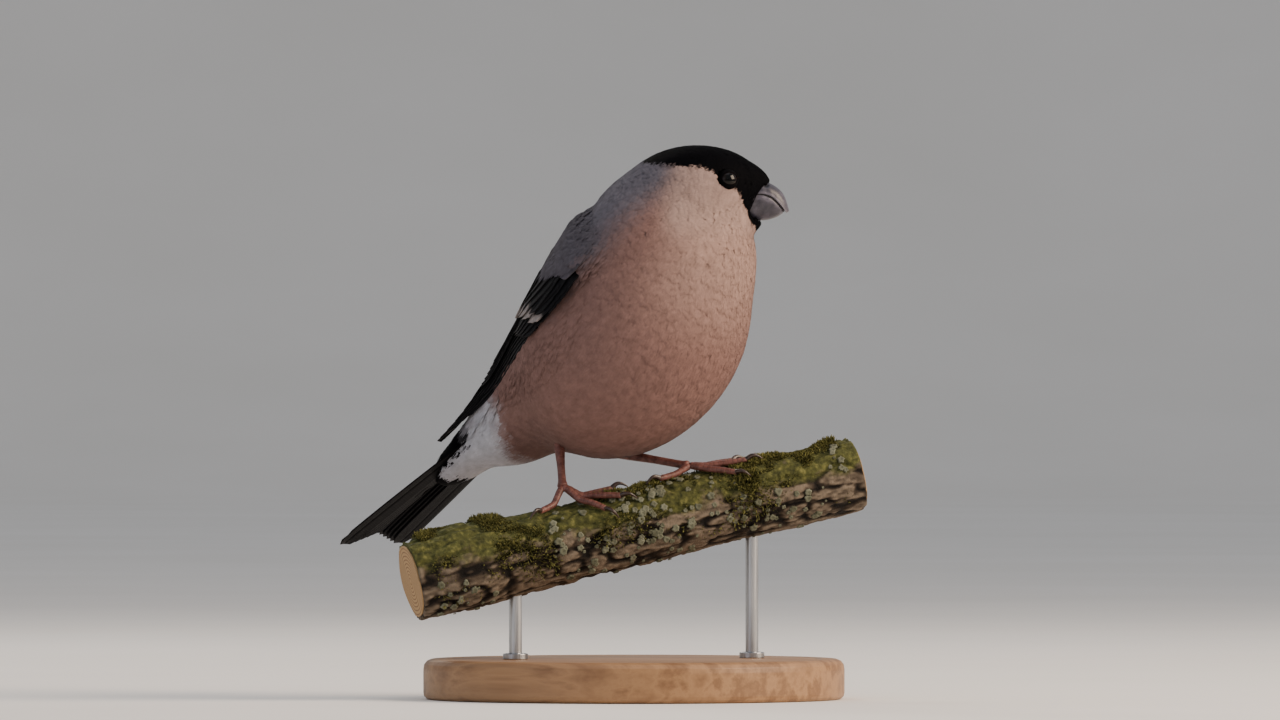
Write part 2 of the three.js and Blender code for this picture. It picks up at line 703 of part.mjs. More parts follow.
function makeBase() {
  const { radius, thickness, bevel, sides } = BASE;
  const outline = [[0, 0], [radius, 0], [radius, thickness - bevel]];
  for (const turn of [30, 60, 90]) {
    const [cos, sin] = [Math.cos(degToRad(turn)), Math.sin(degToRad(turn))];
    outline.push([radius - bevel + bevel * cos, thickness - bevel + bevel * sin]);
  }
  outline.push([0, thickness]);
  const section = outline.map(([x, y]) => new Vector2(x, y));
  const disc = new THREE.LatheGeometry(section, sides).rotateX(Math.PI / 2);
  return solidOf(disc).subtract(standRod(1, GAP)).subtract(standRod(-1, GAP));
}

const jointOf = (leg) => overPerch(leg.along, 0, leg.jointOver);

// The bare shank from inside the belly to just over the foot's joint.
function shank(leg, grow) {
  const joint = jointOf(leg);
  const run = leg.leaves.clone().sub(joint).normalize();
  const low = joint.clone().addScaledVector(run, FOOT_JOINT.radius + GAP);
  const high = leg.leaves.clone().addScaledVector(run, SHANK.sunk + grow);
  const middle = low.clone().lerp(high, 0.5);
  const radiusAt = (way) => lerp(SHANK.radius, SHANK.rootRadius, smoothstep(way, ...SHANK.swells)) + grow;
  return solidOf(tube([low, middle, high], radiusAt, SHANK.sides, SHANK.stations));
}

// A toe and its claw, laid over the bark from the foot's joint.
function toe(leg, [turn, length]) {
  const [cos, sin] = [Math.cos(degToRad(turn)), Math.sin(degToRad(turn))];
  const whole = length + TOE.claw;
  const rest = GAP + 0.05 + TOE.radius;
  const points = Array.from({ length: TOE.points + 1 }, (_, k) => {
    const reach = (whole * k) / TOE.points;
    const settled = smoothstep(reach, 0, TOE.settles);
    const arch = TOE.clawArch * Math.sin(Math.PI * clamp((reach - length) / TOE.claw, 0, 1));
    const dip = TOE.clawDip * smoothstep(reach, length, whole);
    const height = lerp(leg.jointOver, rest, settled) + arch - dip;
    return overPerch(leg.along + reach * cos, (reach * sin) / (PERCH.radius + rest), height);
  });
  const clawFrom = length / whole;
  const radiusAt = (way) => {
    if (way > clawFrom) return lerp(TOE.clawRadius, TOE.clawTip, (way - clawFrom) / (1 - clawFrom));
    return TOE.radius * (1 - TOE.taper * (way / clawFrom)) + TOE.pad * Math.sin(way * TOE.padTurn);
  };
  return solidOf(tube(points, radiusAt, TOE.sides, TOE.stations));
}

function makeFoot(leg) {
  const joint = solidOf(ball(FOOT_JOINT.radius, jointOf(leg), FOOT_JOINT.sides, FOOT_JOINT.rings));
  return join([joint, ...leg.toes.map((one) => toe(leg, one)), toe(leg, leg.hind)]);
}

// The plumage as one closed body at a given facet size, and the stretches that it is parted into.
const wholeBody = (facet) => solidOf(skinOf(bodyField, BODY_LOW, BODY_HIGH, facet));
const HALF_GAP = GAP / 2;

function makeHead() {
  const sockets = [LEFT, RIGHT].map(eyeSocket);
  const billSocket = [
    billHalf(BILL.mouth, BILL.culmen, BILL.clearance),
    billHalf(BILL.mouthBelow, BILL.underside, BILL.clearance),
  ];
  const skull = wholeBody(FACET.head).subtract(behindPlane(HEAD_CUT, HALF_GAP));
  return join([skull, eyeLid(LEFT), eyeLid(RIGHT)]).subtract(join([...sockets, ...billSocket]));
}

function makeNeck() {
  const upper = wholeBody(FACET.neck).intersect(behindPlane(HEAD_CUT, -HALF_GAP));
  return upper.subtract(behindPlane(NECK_CUT, HALF_GAP));
}

function makeTorso() {
  const holes = join([wingPocket(LEFT), wingPocket(RIGHT), shank(LEGS.left, GAP), shank(LEGS.right, GAP)]);
  const trunk = wholeBody(FACET.torso).intersect(behindPlane(NECK_CUT, -HALF_GAP));
  return trunk.subtract(behindPlane(TAIL_CUT, HALF_GAP)).subtract(holes);
}

function makeTail() {
  return join([wholeBody(FACET.tail).intersect(behindPlane(TAIL_CUT, -HALF_GAP)), ...tailVanes()]);
}

const NODES = [
  ['head', BLACK_PLUMAGE, makeHead()],
  ['neck', GREY_PLUMAGE, makeNeck()],
  ['torso', BREAST_PLUMAGE, makeTorso()],
  ['tail', BLACK_PLUMAGE, makeTail()],
  ['wing_left', BLACK_PLUMAGE, makeWing(LEFT)],
  ['wing_right', BLACK_PLUMAGE, makeWing(RIGHT)],
  ['eye_left', EYE_GLOSS, makeEye(LEFT)],
  ['eye_right', EYE_GLOSS, makeEye(RIGHT)],
  ['bill_upper', HORN, makeUpperBill()],
  ['bill_lower', HORN, billHalf(BILL.mouthBelow, BILL.underside, 0)],
  ['leg_left', SHANK_SKIN, shank(LEGS.left, 0)],
  ['leg_right', SHANK_SKIN, shank(LEGS.right, 0)],
  ['foot_left', SHANK_SKIN, makeFoot(LEGS.left)],
  ['foot_right', SHANK_SKIN, makeFoot(LEGS.right)],
  ['perch_branch', BARK, makePerch()],
  ['stand_base', OILED_WOOD, makeBase()],
  ['stand_rod_high', BRUSHED_STEEL, standRod(1, 0)],
  ['stand_rod_low', BRUSHED_STEEL, standRod(-1, 0)],
];

const bullfinch = new THREE.Group();
for (const [name, material, solid] of NODES) {
  const mesh = new THREE.Mesh(geometryOf(solid), material);
  mesh.name = name;
  bullfinch.add(mesh);
}

export default bullfinch;
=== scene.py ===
"""Dresses a hen bullfinch that grips a cut branch: plumage, bill, eyes, legs, bark and display stand."""

from __future__ import annotations

import logging
import math
from collections.abc import Callable, Sequence
from dataclasses import dataclass, field
from enum import Enum

import bpy
import numpy as np
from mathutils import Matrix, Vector

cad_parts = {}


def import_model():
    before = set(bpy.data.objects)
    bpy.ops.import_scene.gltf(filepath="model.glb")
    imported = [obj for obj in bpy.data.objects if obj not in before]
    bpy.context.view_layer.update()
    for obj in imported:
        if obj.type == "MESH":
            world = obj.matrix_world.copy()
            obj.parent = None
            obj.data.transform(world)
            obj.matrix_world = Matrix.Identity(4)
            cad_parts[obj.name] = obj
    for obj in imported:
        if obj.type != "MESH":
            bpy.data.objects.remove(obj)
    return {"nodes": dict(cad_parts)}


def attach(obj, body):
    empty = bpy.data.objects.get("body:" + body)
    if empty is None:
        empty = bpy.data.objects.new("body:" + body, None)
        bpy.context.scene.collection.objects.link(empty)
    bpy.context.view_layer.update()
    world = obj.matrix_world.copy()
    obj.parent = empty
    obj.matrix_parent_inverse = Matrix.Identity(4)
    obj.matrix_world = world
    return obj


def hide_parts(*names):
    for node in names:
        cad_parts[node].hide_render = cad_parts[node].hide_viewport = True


LOG = logging.getLogger("bullfinch")
MM = 0.001
LEFT, RIGHT = 1, -1
SEED = 20


def linear(hex_colour: str) -> tuple[float, float, float]:
    """Turns an sRGB hex colour to linear values.

    Args:
        hex_colour: Six hex digits.

    Returns:
        Red, green and blue from 0 to 1.
    """
    parts = [int(hex_colour[i:i + 2], 16) / 255 for i in (0, 2, 4)]
    return tuple(c / 12.92 if c <= 0.04045 else ((c + 0.055) / 1.055) ** 2.4 for c in parts)


class Tint(Enum):
    """Colours of the plumage, as sRGB hex."""

    CAP = "050508"
    CHEEK = "a78f87"
    NAPE = "706c74"
    MANTLE = "5e5a61"
    BREAST = "856862"
    THROAT = "a88d83"
    BELLY = "725954"
    WHITE = "bfc1ca"
    FLIGHT = "050508"
    BAR = "9a918c"
    COVERT = "4a464b"

    @property
    def rgb(self) -> np.ndarray:
        """The colour as linear values."""
        return np.array(linear(self.value))


def smooth(value: np.ndarray, low: float, high: float) -> np.ndarray:
    """A soft step from 0 at low to 1 at high."""
    share = np.clip((np.asarray(value, float) - low) / (high - low), 0, 1)
    return share * share * (3 - 2 * share)


def mix(a: np.ndarray, b: np.ndarray, share: np.ndarray) -> np.ndarray:
    """Blends rows of a towards b by a share for each row."""
    return a + (b - a) * np.asarray(share)[..., None]


def heading(pitch: float, yaw: float) -> np.ndarray:
    """A direction from degrees above the floor and degrees round from +X."""
    p, y = math.radians(pitch), math.radians(yaw)
    return np.array([math.cos(p) * math.cos(y), math.cos(p) * math.sin(y), math.sin(p)])


def unit(rows: np.ndarray) -> np.ndarray:
    """Rows scaled to length one."""
    return rows / np.maximum(np.linalg.norm(rows, axis=-1, keepdims=True), 1e-9)


def profile(keys: Sequence[float]) -> Callable[[np.ndarray], np.ndarray]:
    """A smooth curve of one value through keys at even steps.

    Args:
        keys: The value at each step.

    Returns:
        A function that reads the curve from 0 to 1.
    """
    values = np.array(keys, float)
    last = len(values) - 1

    def read(at: np.ndarray) -> np.ndarray:
        """The curve's value at shares of its length."""
        place = np.clip(np.asarray(at, float), 0, 1) * last
        step = np.minimum(place.astype(int), last)
        t = place - step
        p0, p1 = values[np.maximum(step - 1, 0)], values[step]
        p2, p3 = values[np.minimum(step + 1, last)], values[np.minimum(step + 2, last)]
        v0, v1 = (p2 - p0) / 2, (p3 - p1) / 2
        return (2 * p1 - 2 * p2 + v0 + v1) * t**3 + (3 * p2 - 3 * p1 - 2 * v0 - v1) * t**2 + v0 * t + p1

    return read


@dataclass(frozen=True)
class Mass:
    """One soft mass of the plumage's outline, in millimetres and degrees."""

    centre: tuple[float, float, float]
    half: tuple[float, float, float]
    pitch: float
    yaw: float

    def distance(self, places: np.ndarray) -> np.ndarray:
        """About how far places lie outside the mass."""
        along, across = heading(self.pitch, self.yaw), heading(0, self.yaw + 90)
        axes = np.array([along, across, np.cross(along, across)])
        part = (places - np.array(self.centre)) @ axes.T / np.array(self.half)
        scaled = np.linalg.norm(part, axis=1)
        return scaled * (scaled - 1) / (np.linalg.norm(part / np.array(self.half), axis=1) + 1e-9)


class Plumage:
    """The outline of the plumage as a field, and ways to find places on it. All in millimetres."""

    MASSES = (
        Mass((0.3, 0, 88.7), (33.3, 27.5, 24.4), 46, 0),
        Mass((6.4, 0.5, 106.2), (19.6, 23.5, 17.9), 58, 0),
        Mass((11.9, 1.5, 114.9), (14.6, 18.5, 19.0), 60, 20),
        Mass((20.1, 2.5, 127.2), (14.4, 12.6, 9.2), -5, 38),
        Mass((-25.4, 0, 76.9), (24, 14, 12.5), 42, 0),
        Mass((-47, 0, 62.5), (17, 8, 4.5), 33, 0),
    )
    BLEND = 9.0
    TUFTS = (
        Mass((29.714, 10.011, 127.5), (4.4, 3.9, 3.3), -34, 38),
        Mass((28.295, 8.903, 117.3), (4.2, 3.5, 2.5), 25, 38),
    )
    TUFT_BLEND = 2.2
    FRONT_RISE, FLANK_RISE, MANTLE_RISE = 3.0, 1.1, 2.3
    TAIL = Mass((-58, 0, 56), (30, 11, 3.5), 34, 0)
    TAIL_BLEND = 6.0
    SPINE = np.array([[-82, 0, 39.5], [-20, 0, 75], [14, 0, 117]], float)
    HEAD_CENTRE = np.array([20.1, 2.5, 124])
    HEAD_YAW = 38.0
    WRIST_AT, TIP_AT = 0.9, 0.257
    LOWER_EDGE = staticmethod(profile([89, 91, 87, 76, 68, 54]))
    UPPER_EDGE = staticmethod(profile([44, 30, 22, 22, 34, 43]))

    @staticmethod
    def union(a: np.ndarray, b: np.ndarray, blend: float) -> np.ndarray:
        """Joins two fields with a soft fold between them."""
        share = np.clip(0.5 + 0.5 * (b - a) / blend, 0, 1)
        return b + (a - b) * share - blend * share * (1 - share)

    def field(self, places: np.ndarray) -> np.ndarray:
        """Below zero inside the plumage, above zero outside."""
        total = self.MASSES[0].distance(places)
        for mass in self.MASSES[1:]:
            total = self.union(total, mass.distance(places), self.BLEND)
        for tuft in self.TUFTS:
            total = self.union(total, tuft.distance(places), self.TUFT_BLEND)
        return total

    def guide(self, places: np.ndarray) -> np.ndarray:
        """The plumage's field with the closed tail in it."""
        return self.union(self.field(places), self.TAIL.distance(places), self.TAIL_BLEND)

    def slope(self, places: np.ndarray, step: float = 0.05) -> np.ndarray:
        """The field's slope at each place."""
        moves = np.eye(3) * step
        return np.stack([(self.field(places + m) - self.field(places - m)) / (2 * step) for m in moves], 1)

    def normal(self, places: np.ndarray) -> np.ndarray:
        """The way out of the plumage at each place."""
        return unit(self.slope(places))

    def settle(self, places: np.ndarray, height: np.ndarray | float, rounds: int = 3) -> np.ndarray:
        """Moves places onto the level at a height over the outline."""
        for _ in range(rounds):
            slope = self.slope(places)
            gap = (self.field(places) - height) / np.maximum((slope**2).sum(1), 0.05)
            places = places - slope * np.clip(gap, -3, 3)[:, None]
        return places

    def spine(self, along: np.ndarray) -> tuple[np.ndarray, np.ndarray]:
        """Points on the spine's curve and its directions; past the neck it runs on straight."""
        a, b, c = self.SPINE
        t = np.asarray(along, float)[..., None]
        inside = np.minimum(t, 1)
        point = (1 - inside) ** 2 * a + 2 * (1 - inside) * inside * b + inside**2 * c
        tangent = 2 * (1 - inside) * (b - a) + 2 * inside * (c - b)
        return point + np.maximum(t - 1, 0) * tangent, unit(tangent)

    def over_body(self, side: int, along: np.ndarray, round_: np.ndarray, height: np.ndarray) -> np.ndarray:
        """Places over the plumage.

        Args:
            side: LEFT or RIGHT.
            along: From 0 at the tail's tip to 1 in the neck.
            round_: Degrees round from the middle of the back.
            height: Millimetres over the outline.

        Returns:
            One row for each place.
        """
        along, round_, height = np.broadcast_arrays(along, round_, height)
        start, tangent = self.spine(along.ravel())
        turn = np.radians(round_.ravel())[:, None]
        dorsal = np.stack([-tangent[:, 2], np.zeros(len(tangent)), tangent[:, 0]], 1)
        out = dorsal * np.cos(turn) + np.array([0, side, 0]) * np.sin(turn)
        near, far = np.zeros(len(start)), np.full(len(start), 60.0)
        for _ in range(22):
            middle = (near + far) / 2
            inside = self.guide(start + out * middle[:, None]) < height.ravel()
            near, far = np.where(inside, middle, near), np.where(inside, far, middle)
        return start + out * near[:, None]

    def over_wing(self, side: int, along: np.ndarray, across: np.ndarray, height: np.ndarray,
                  aside: np.ndarray | float = 0) -> np.ndarray:
        """Places on the folded wing, from 0 to 1 along and across it, with a step aside in millimetres."""
        at = self.WRIST_AT + (self.TIP_AT - self.WRIST_AT) * np.asarray(along)
        round_ = self.LOWER_EDGE(along) + (self.UPPER_EDGE(along) - self.LOWER_EDGE(along)) * across
        at, round_, height, aside = (x.ravel() for x in np.broadcast_arrays(at, round_, height, aside))
        first = self.over_body(side, at, round_, height)
        radius = np.linalg.norm(first - self.spine(at)[0], axis=1)
        return self.over_body(side, at, round_ - np.degrees(aside / radius), height)

    def wing_place(self, along: np.ndarray, round_: np.ndarray) -> tuple[np.ndarray, np.ndarray]:
        """Where places over the body lie along and across the folded wing, past 0 and 1 where outside it."""
        s = (self.WRIST_AT - along) / (self.WRIST_AT - self.TIP_AT)
        low, high = self.LOWER_EDGE(s), self.UPPER_EDGE(s)
        return s, (round_ - low) / (high - low)

    def swell(self, places: np.ndarray) -> np.ndarray:
        """How far the coat rises over the wing's front and over the wing's edges, in millimetres."""
        s, w = self.wing_place(*self.locate(places))
        front = smooth(s, -0.1, 0.02) * smooth(0.38 * w + 0.12 - s, 0, 0.1)
        front = front * smooth(w, -0.2, 0.08) * smooth(1.3 - w, 0, 0.25)
        flank = smooth(s, 0, 0.25) * smooth(1.05 - s, 0, 0.15)
        flank = flank * smooth(w, -0.42, -0.05) * smooth(0.06 - w, 0, 0.04)
        mantle = smooth(s, -0.05, 0.12) * smooth(0.8 - s, 0, 0.3)
        mantle = mantle * smooth(1.6 - w, 0, 0.5) * smooth(w, 0.8, 0.95)
        return np.max([self.FRONT_RISE * front, self.FLANK_RISE * flank, self.MANTLE_RISE * mantle], axis=0)

    def bake_place(self, places: np.ndarray) -> np.ndarray:
        """Where places lie on the bake map: the body unrolled round its spine."""
        along, round_ = self.locate(places)
        across = 0.5 + np.sign(places[:, 1]) * round_ / 360 * 0.96
        return np.stack([across, 0.02 + np.clip(along / 1.5, 0, 1) * 0.96], 1)

    def locate(self, places: np.ndarray) -> tuple[np.ndarray, np.ndarray]:
        """Where places lie along the spine, and how many degrees round from the back."""
        steps = np.linspace(0, 1.5, 151)
        points, tangents = self.spine(steps)
        best = np.concatenate([
            ((part[:, None, ::2] - points[None, :, ::2]) ** 2).sum(2).argmin(1)
            for part in np.array_split(places, max(1, len(places) // 20000))
        ])
        offset = places - points[best]
        back = tangents[best][:, 0] * offset[:, 2] - tangents[best][:, 2] * offset[:, 0]
        return steps[best], np.degrees(np.arctan2(np.abs(places[:, 1]), back))

    def in_head(self, places: np.ndarray) -> np.ndarray:
        """Places as ahead, aside and above in the head's own frame."""
        offset = places - self.HEAD_CENTRE
        ahead, aside = heading(0, self.HEAD_YAW), heading(0, self.HEAD_YAW + 90)
        return np.stack([offset @ ahead, offset @ aside, offset[:, 2]], 1)

    def from_head(self, rows: np.ndarray) -> np.ndarray:
        """Places from ahead, aside and above in the head's own frame."""
        rows = np.atleast_2d(rows)
        return (self.HEAD_CENTRE + rows[:, :1] * heading(0, self.HEAD_YAW)
                + rows[:, 1:2] * heading(0, self.HEAD_YAW + 90) + rows[:, 2:] * np.array([0, 0, 1]))


class Markings:
    """Where each colour of the plumage lies. Skin and feathers read the same rules."""

    CAP_EDGE = ((-18, 8.6), (-9, 7.4), (-1, 7.0), (2, 6.0), (3.4, 4.0), (5.8, 2.2), (8.3, 1.0), (9.3, -0.9),
                (10.5, -4.5), (11.7, -7.0), (12.8, -8.4), (14, -8.6))

    def __init__(self, plumage: Plumage) -> None:
        """Keeps the outline that the markings lie on."""
        self.plumage = plumage

    def cap(self, places: np.ndarray) -> np.ndarray:
        """How far places are in the black cap and bib, from 0 to 1."""
        ahead, _, above = self.plumage.in_head(places).T
        edge = np.array(self.CAP_EDGE)
        steep = np.interp(ahead, [7, 10, 13], [1.0, 0.4, 1.0])
        reach = (above - np.interp(ahead, edge[:, 0], edge[:, 1])) * steep
        return smooth(reach, -0.35, 0.35) * smooth(ahead, -19, -17.5)

    def tint(self, places: np.ndarray) -> np.ndarray:
        """The plumage's colour at places on the outline, as linear rows."""
        along, round_ = self.plumage.locate(places)
        ahead, _, above = self.plumage.in_head(places).T
        rows = np.tile(Tint.BREAST.rgb, (len(places), 1))
        rows = mix(rows, Tint.THROAT.rgb, smooth(along, 0.82, 1.05) * smooth(round_, 100, 150) * 0.8)
        rows = mix(rows, Tint.BELLY.rgb, smooth(0.62 - along, 0, 0.15) * smooth(round_, 100, 150))
        rows = mix(rows, Tint.CHEEK.rgb, smooth(above, -14, -4) * smooth(ahead, -14, -6))
        nape = smooth(78 - round_, -26, 14) * smooth(along, 0.82, 0.9)
        rows = mix(rows, Tint.NAPE.rgb, nape * smooth(-ahead, 4, 12))
        rows = mix(rows, Tint.MANTLE.rgb, smooth(72 - round_, -12, 10) * smooth(0.93 - along, 0, 0.12))
        rows = mix(rows, Tint.WHITE.rgb, smooth(0.5 - along, 0, 0.05) * smooth(70 - round_, -5, 10))
        s, w = self.plumage.wing_place(along, round_)
        shoulder = smooth(s, -0.12, 0.02) * smooth(0.5 - s, 0, 0.05)
        rows = mix(rows, Tint.MANTLE.rgb, shoulder * smooth(w, -0.1, 0.12) * smooth(1.3 - w, 0, 0.2))
        vent_edge = 0.43 - 0.07 * smooth(round_, 80, 150)
        rows = mix(rows, Tint.WHITE.rgb, smooth(vent_edge - along, -0.045, 0.025) * smooth(round_, 60, 80))
        rows = mix(rows, Tint.FLIGHT.rgb, smooth(0.215 + 0.03 * smooth(round_, 95, 155) - along, 0, 0.015))
        rows = mix(rows, Tint.FLIGHT.rgb, smooth(0.345 - along, 0, 0.03) * smooth(88 - round_, -4, 6))
        return mix(rows, Tint.CAP.rgb, self.cap(places))


class Model:
    """Turns arrays in millimetres into Blender meshes, and gives finished pieces to the frame."""

    @staticmethod
    def mesh(name: str, corners: np.ndarray, faces: np.ndarray) -> bpy.types.Object:
        """A mesh object whose place is in its mesh.

        Args:
            name: The piece's name.
            corners: One row for each corner, in millimetres.
            faces: One row of corner numbers for each face.

        Returns:
            The new object, smooth shaded.
        """
        data = bpy.data.meshes.new(name)
        data.vertices.add(len(corners))
        data.vertices.foreach_set("co", (np.asarray(corners) * MM).astype(np.float32).ravel())
        data.loops.add(faces.size)
        data.loops.foreach_set("vertex_index", faces.astype(np.int32).ravel())
        data.polygons.add(len(faces))
        data.polygons.foreach_set("loop_start", np.arange(len(faces), dtype=np.int32) * faces.shape[1])
        data.update(calc_edges=True)
        data.shade_smooth()
        piece = bpy.data.objects.new(name, data)
        bpy.context.scene.collection.objects.link(piece)
        return piece

    @staticmethod
    def colour(piece: bpy.types.Object, name: str, rows: np.ndarray) -> None:
        """Stores a linear colour for each corner of a mesh."""
        layer = piece.data.color_attributes.new(name, "FLOAT_COLOR", "POINT")
        opaque = np.hstack([rows, np.ones((len(rows), 1))])
        layer.data.foreach_set("color", opaque.astype(np.float32).ravel())

    @staticmethod
    def value(piece: bpy.types.Object, name: str, values: np.ndarray) -> None:
        """Stores a number for each corner of a mesh."""
        layer = piece.data.attributes.new(name, "FLOAT", "POINT")
        layer.data.foreach_set("value", np.asarray(values, np.float32))

    @staticmethod
    def bake_map(piece: bpy.types.Object, rows: np.ndarray) -> None:
        """Stores a place on the bake map for each corner of a mesh."""
        layer = piece.data.uv_layers.new(name="OFBake")
        loops = np.zeros(len(piece.data.loops), np.int32)
        piece.data.loops.foreach_get("vertex_index", loops)
        layer.data.foreach_set("uv", rows[loops].astype(np.float32).ravel())

    @staticmethod
    def corners(piece: bpy.types.Object) -> np.ndarray:
        """A mesh's corners in millimetres."""
        rows = np.zeros(len(piece.data.vertices) * 3, np.float32)
        piece.data.vertices.foreach_get("co", rows)
        return rows.reshape(-1, 3).astype(float) / MM

    @staticmethod
    def move(piece: bpy.types.Object, corners: np.ndarray) -> None:
        """Moves a mesh's corners to places in millimetres."""
        piece.data.vertices.foreach_set("co", (corners * MM).astype(np.float32).ravel())
        piece.data.update()

    @staticmethod
    def select_only(*pieces: bpy.types.Object) -> None:
        """Leaves just these objects selected, the first one active."""
        for other in bpy.context.selected_objects:
            other.select_set(False)
        for piece in pieces:
            piece.select_set(True)
        bpy.context.view_layer.objects.active = pieces[0]

    @classmethod
    def face_out(cls, piece: bpy.types.Object) -> None:
        """Turns every face of a closed piece outwards."""
        cls.select_only(piece)
        bpy.ops.object.mode_set(mode="EDIT")
        bpy.ops.mesh.select_all(action="SELECT")
        bpy.ops.mesh.normals_make_consistent(inside=False)
        bpy.ops.object.mode_set(mode="OBJECT")

    @classmethod
    def shaped(cls, name: str, rings: int, sides: int, place: Callable[[np.ndarray, np.ndarray], np.ndarray],
               **values: Callable[[np.ndarray, np.ndarray], np.ndarray]) -> bpy.types.Object:
        """A closed piece: a ball whose corners are moved onto a shape.

        Args:
            name: The piece's name.
            rings: Steps from end to end.
            sides: Steps round.
            place: Rows in millimetres from shares of the way from end to end and radians round.
            values: Numbers to store by name, from the same two.

        Returns:
            The new object, smooth shaded, with its faces outwards.
        """
        bpy.ops.mesh.primitive_uv_sphere_add(segments=sides, ring_count=rings, radius=1)
        piece = bpy.context.object
        piece.name = piece.data.name = name
        ball = cls.corners(piece) * MM
        way = 1 - np.arccos(np.clip(ball[:, 2], -1, 1)) / np.pi
        turn = np.arctan2(ball[:, 1], ball[:, 0])
        cls.move(piece, place(way, turn))
        for key, read in values.items():
            cls.value(piece, key, read(way, turn))
        cls.face_out(piece)
        piece.data.shade_smooth()
        return piece

    @classmethod
    def modifier(cls, piece: bpy.types.Object, kind: str, **settings: object) -> None:
        """Adds a modifier with its settings and applies it."""
        cls.select_only(piece)
        made = piece.modifiers.new(kind.title(), kind)
        for key, setting in settings.items():
            setattr(made, key, setting)
        bpy.ops.object.modifier_apply(modifier=made.name)

    @staticmethod
    def keep(piece: bpy.types.Object, material: bpy.types.Material, slot: str,
             *nodes: str) -> bpy.types.Object:
        """Dresses a piece, lets it ride, and hides the solids that it replaces.

        Args:
            piece: The finished piece.
            material: Its finish.
            slot: The record's material slot; not used.
            nodes: The solids that it replaces.

        Returns:
            The same piece.
        """
        piece.data.materials.clear()
        piece.data.materials.append(material)
        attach(piece, "root")
        if nodes:
            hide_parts(*nodes)
        LOG.info("%s: %d faces", piece.name, len(piece.data.polygons))
        return piece


def grid_faces(rows: int, columns: int, closed: bool = False) -> np.ndarray:
    """Four-sided faces of a grid of corners, joined round where closed."""
    i, j = np.meshgrid(np.arange(rows - 1), np.arange(columns if closed else columns - 1), indexing="ij")
    k = (j + 1) % columns
    faces = np.stack([i * columns + j, i * columns + k, (i + 1) * columns + k, (i + 1) * columns + j], -1)
    return faces.reshape(-1, 4)


@dataclass(frozen=True)
class Tube:
    """A round run along a path, for toes, claws, shanks and rods. Turn 0 is its upper side."""

    path: np.ndarray
    upward: np.ndarray
    radius: Callable[[np.ndarray, np.ndarray], np.ndarray]
    rounded: float = 0.05

    def place(self, way: np.ndarray, turn: np.ndarray) -> np.ndarray:
        """Places on the surface.

        Args:
            way: Shares of the way along the path.
            turn: Radians round from the upper side.

        Returns:
            One row for each place, in millimetres.
        """
        steps = np.linspace(0, 1, len(self.path))

        def read(rows: np.ndarray) -> np.ndarray:
            """The path's own rows, read at the shares."""
            return np.stack([np.interp(way, steps, rows[:, axis]) for axis in range(3)], 1)

        run = unit(np.gradient(self.path, axis=0))
        over = unit(self.upward - run * (self.upward * run).sum(1, keepdims=True))
        ends = np.clip(np.minimum(way, 1 - way) / self.rounded, 0, 1)
        reach = (self.radius(way, turn) * np.sqrt(1 - (1 - ends) ** 2))[:, None]
        out = np.cos(turn)[:, None] * read(over) + np.sin(turn)[:, None] * read(np.cross(run, over))
        return read(self.path) + reach * out


def outline_of(points: Sequence[Sequence[float]]) -> Callable[[np.ndarray], np.ndarray]:
    """A smooth curve through points, read from 0 to 1."""
    reads = [profile([point[axis] for point in points]) for axis in range(len(points[0]))]
    return lambda way: np.stack([read(way) for read in reads], -1)


class Noise:
    """Smooth random values over space, the same on every run."""

    SIZE = 4096

    def __init__(self, seed: int) -> None:
        """Fills the table of random values."""
        self.table = np.random.default_rng(seed).random(self.SIZE)

    def at(self, places: np.ndarray, size: float) -> np.ndarray:
        """Values from 0 to 1 whose spots are about size millimetres across."""
        base = np.floor(places / size).astype(np.int64)
        share = smooth(places / size - base, 0, 1)
        total = np.zeros(len(places))
        for corner in np.ndindex(2, 2, 2):
            cell = base + corner
            key = (cell[:, 0] * 73856093) ^ (cell[:, 1] * 19349663) ^ (cell[:, 2] * 83492791)
            total += np.prod(np.where(corner, share, 1 - share), axis=1) * self.table[key % self.SIZE]
        return total


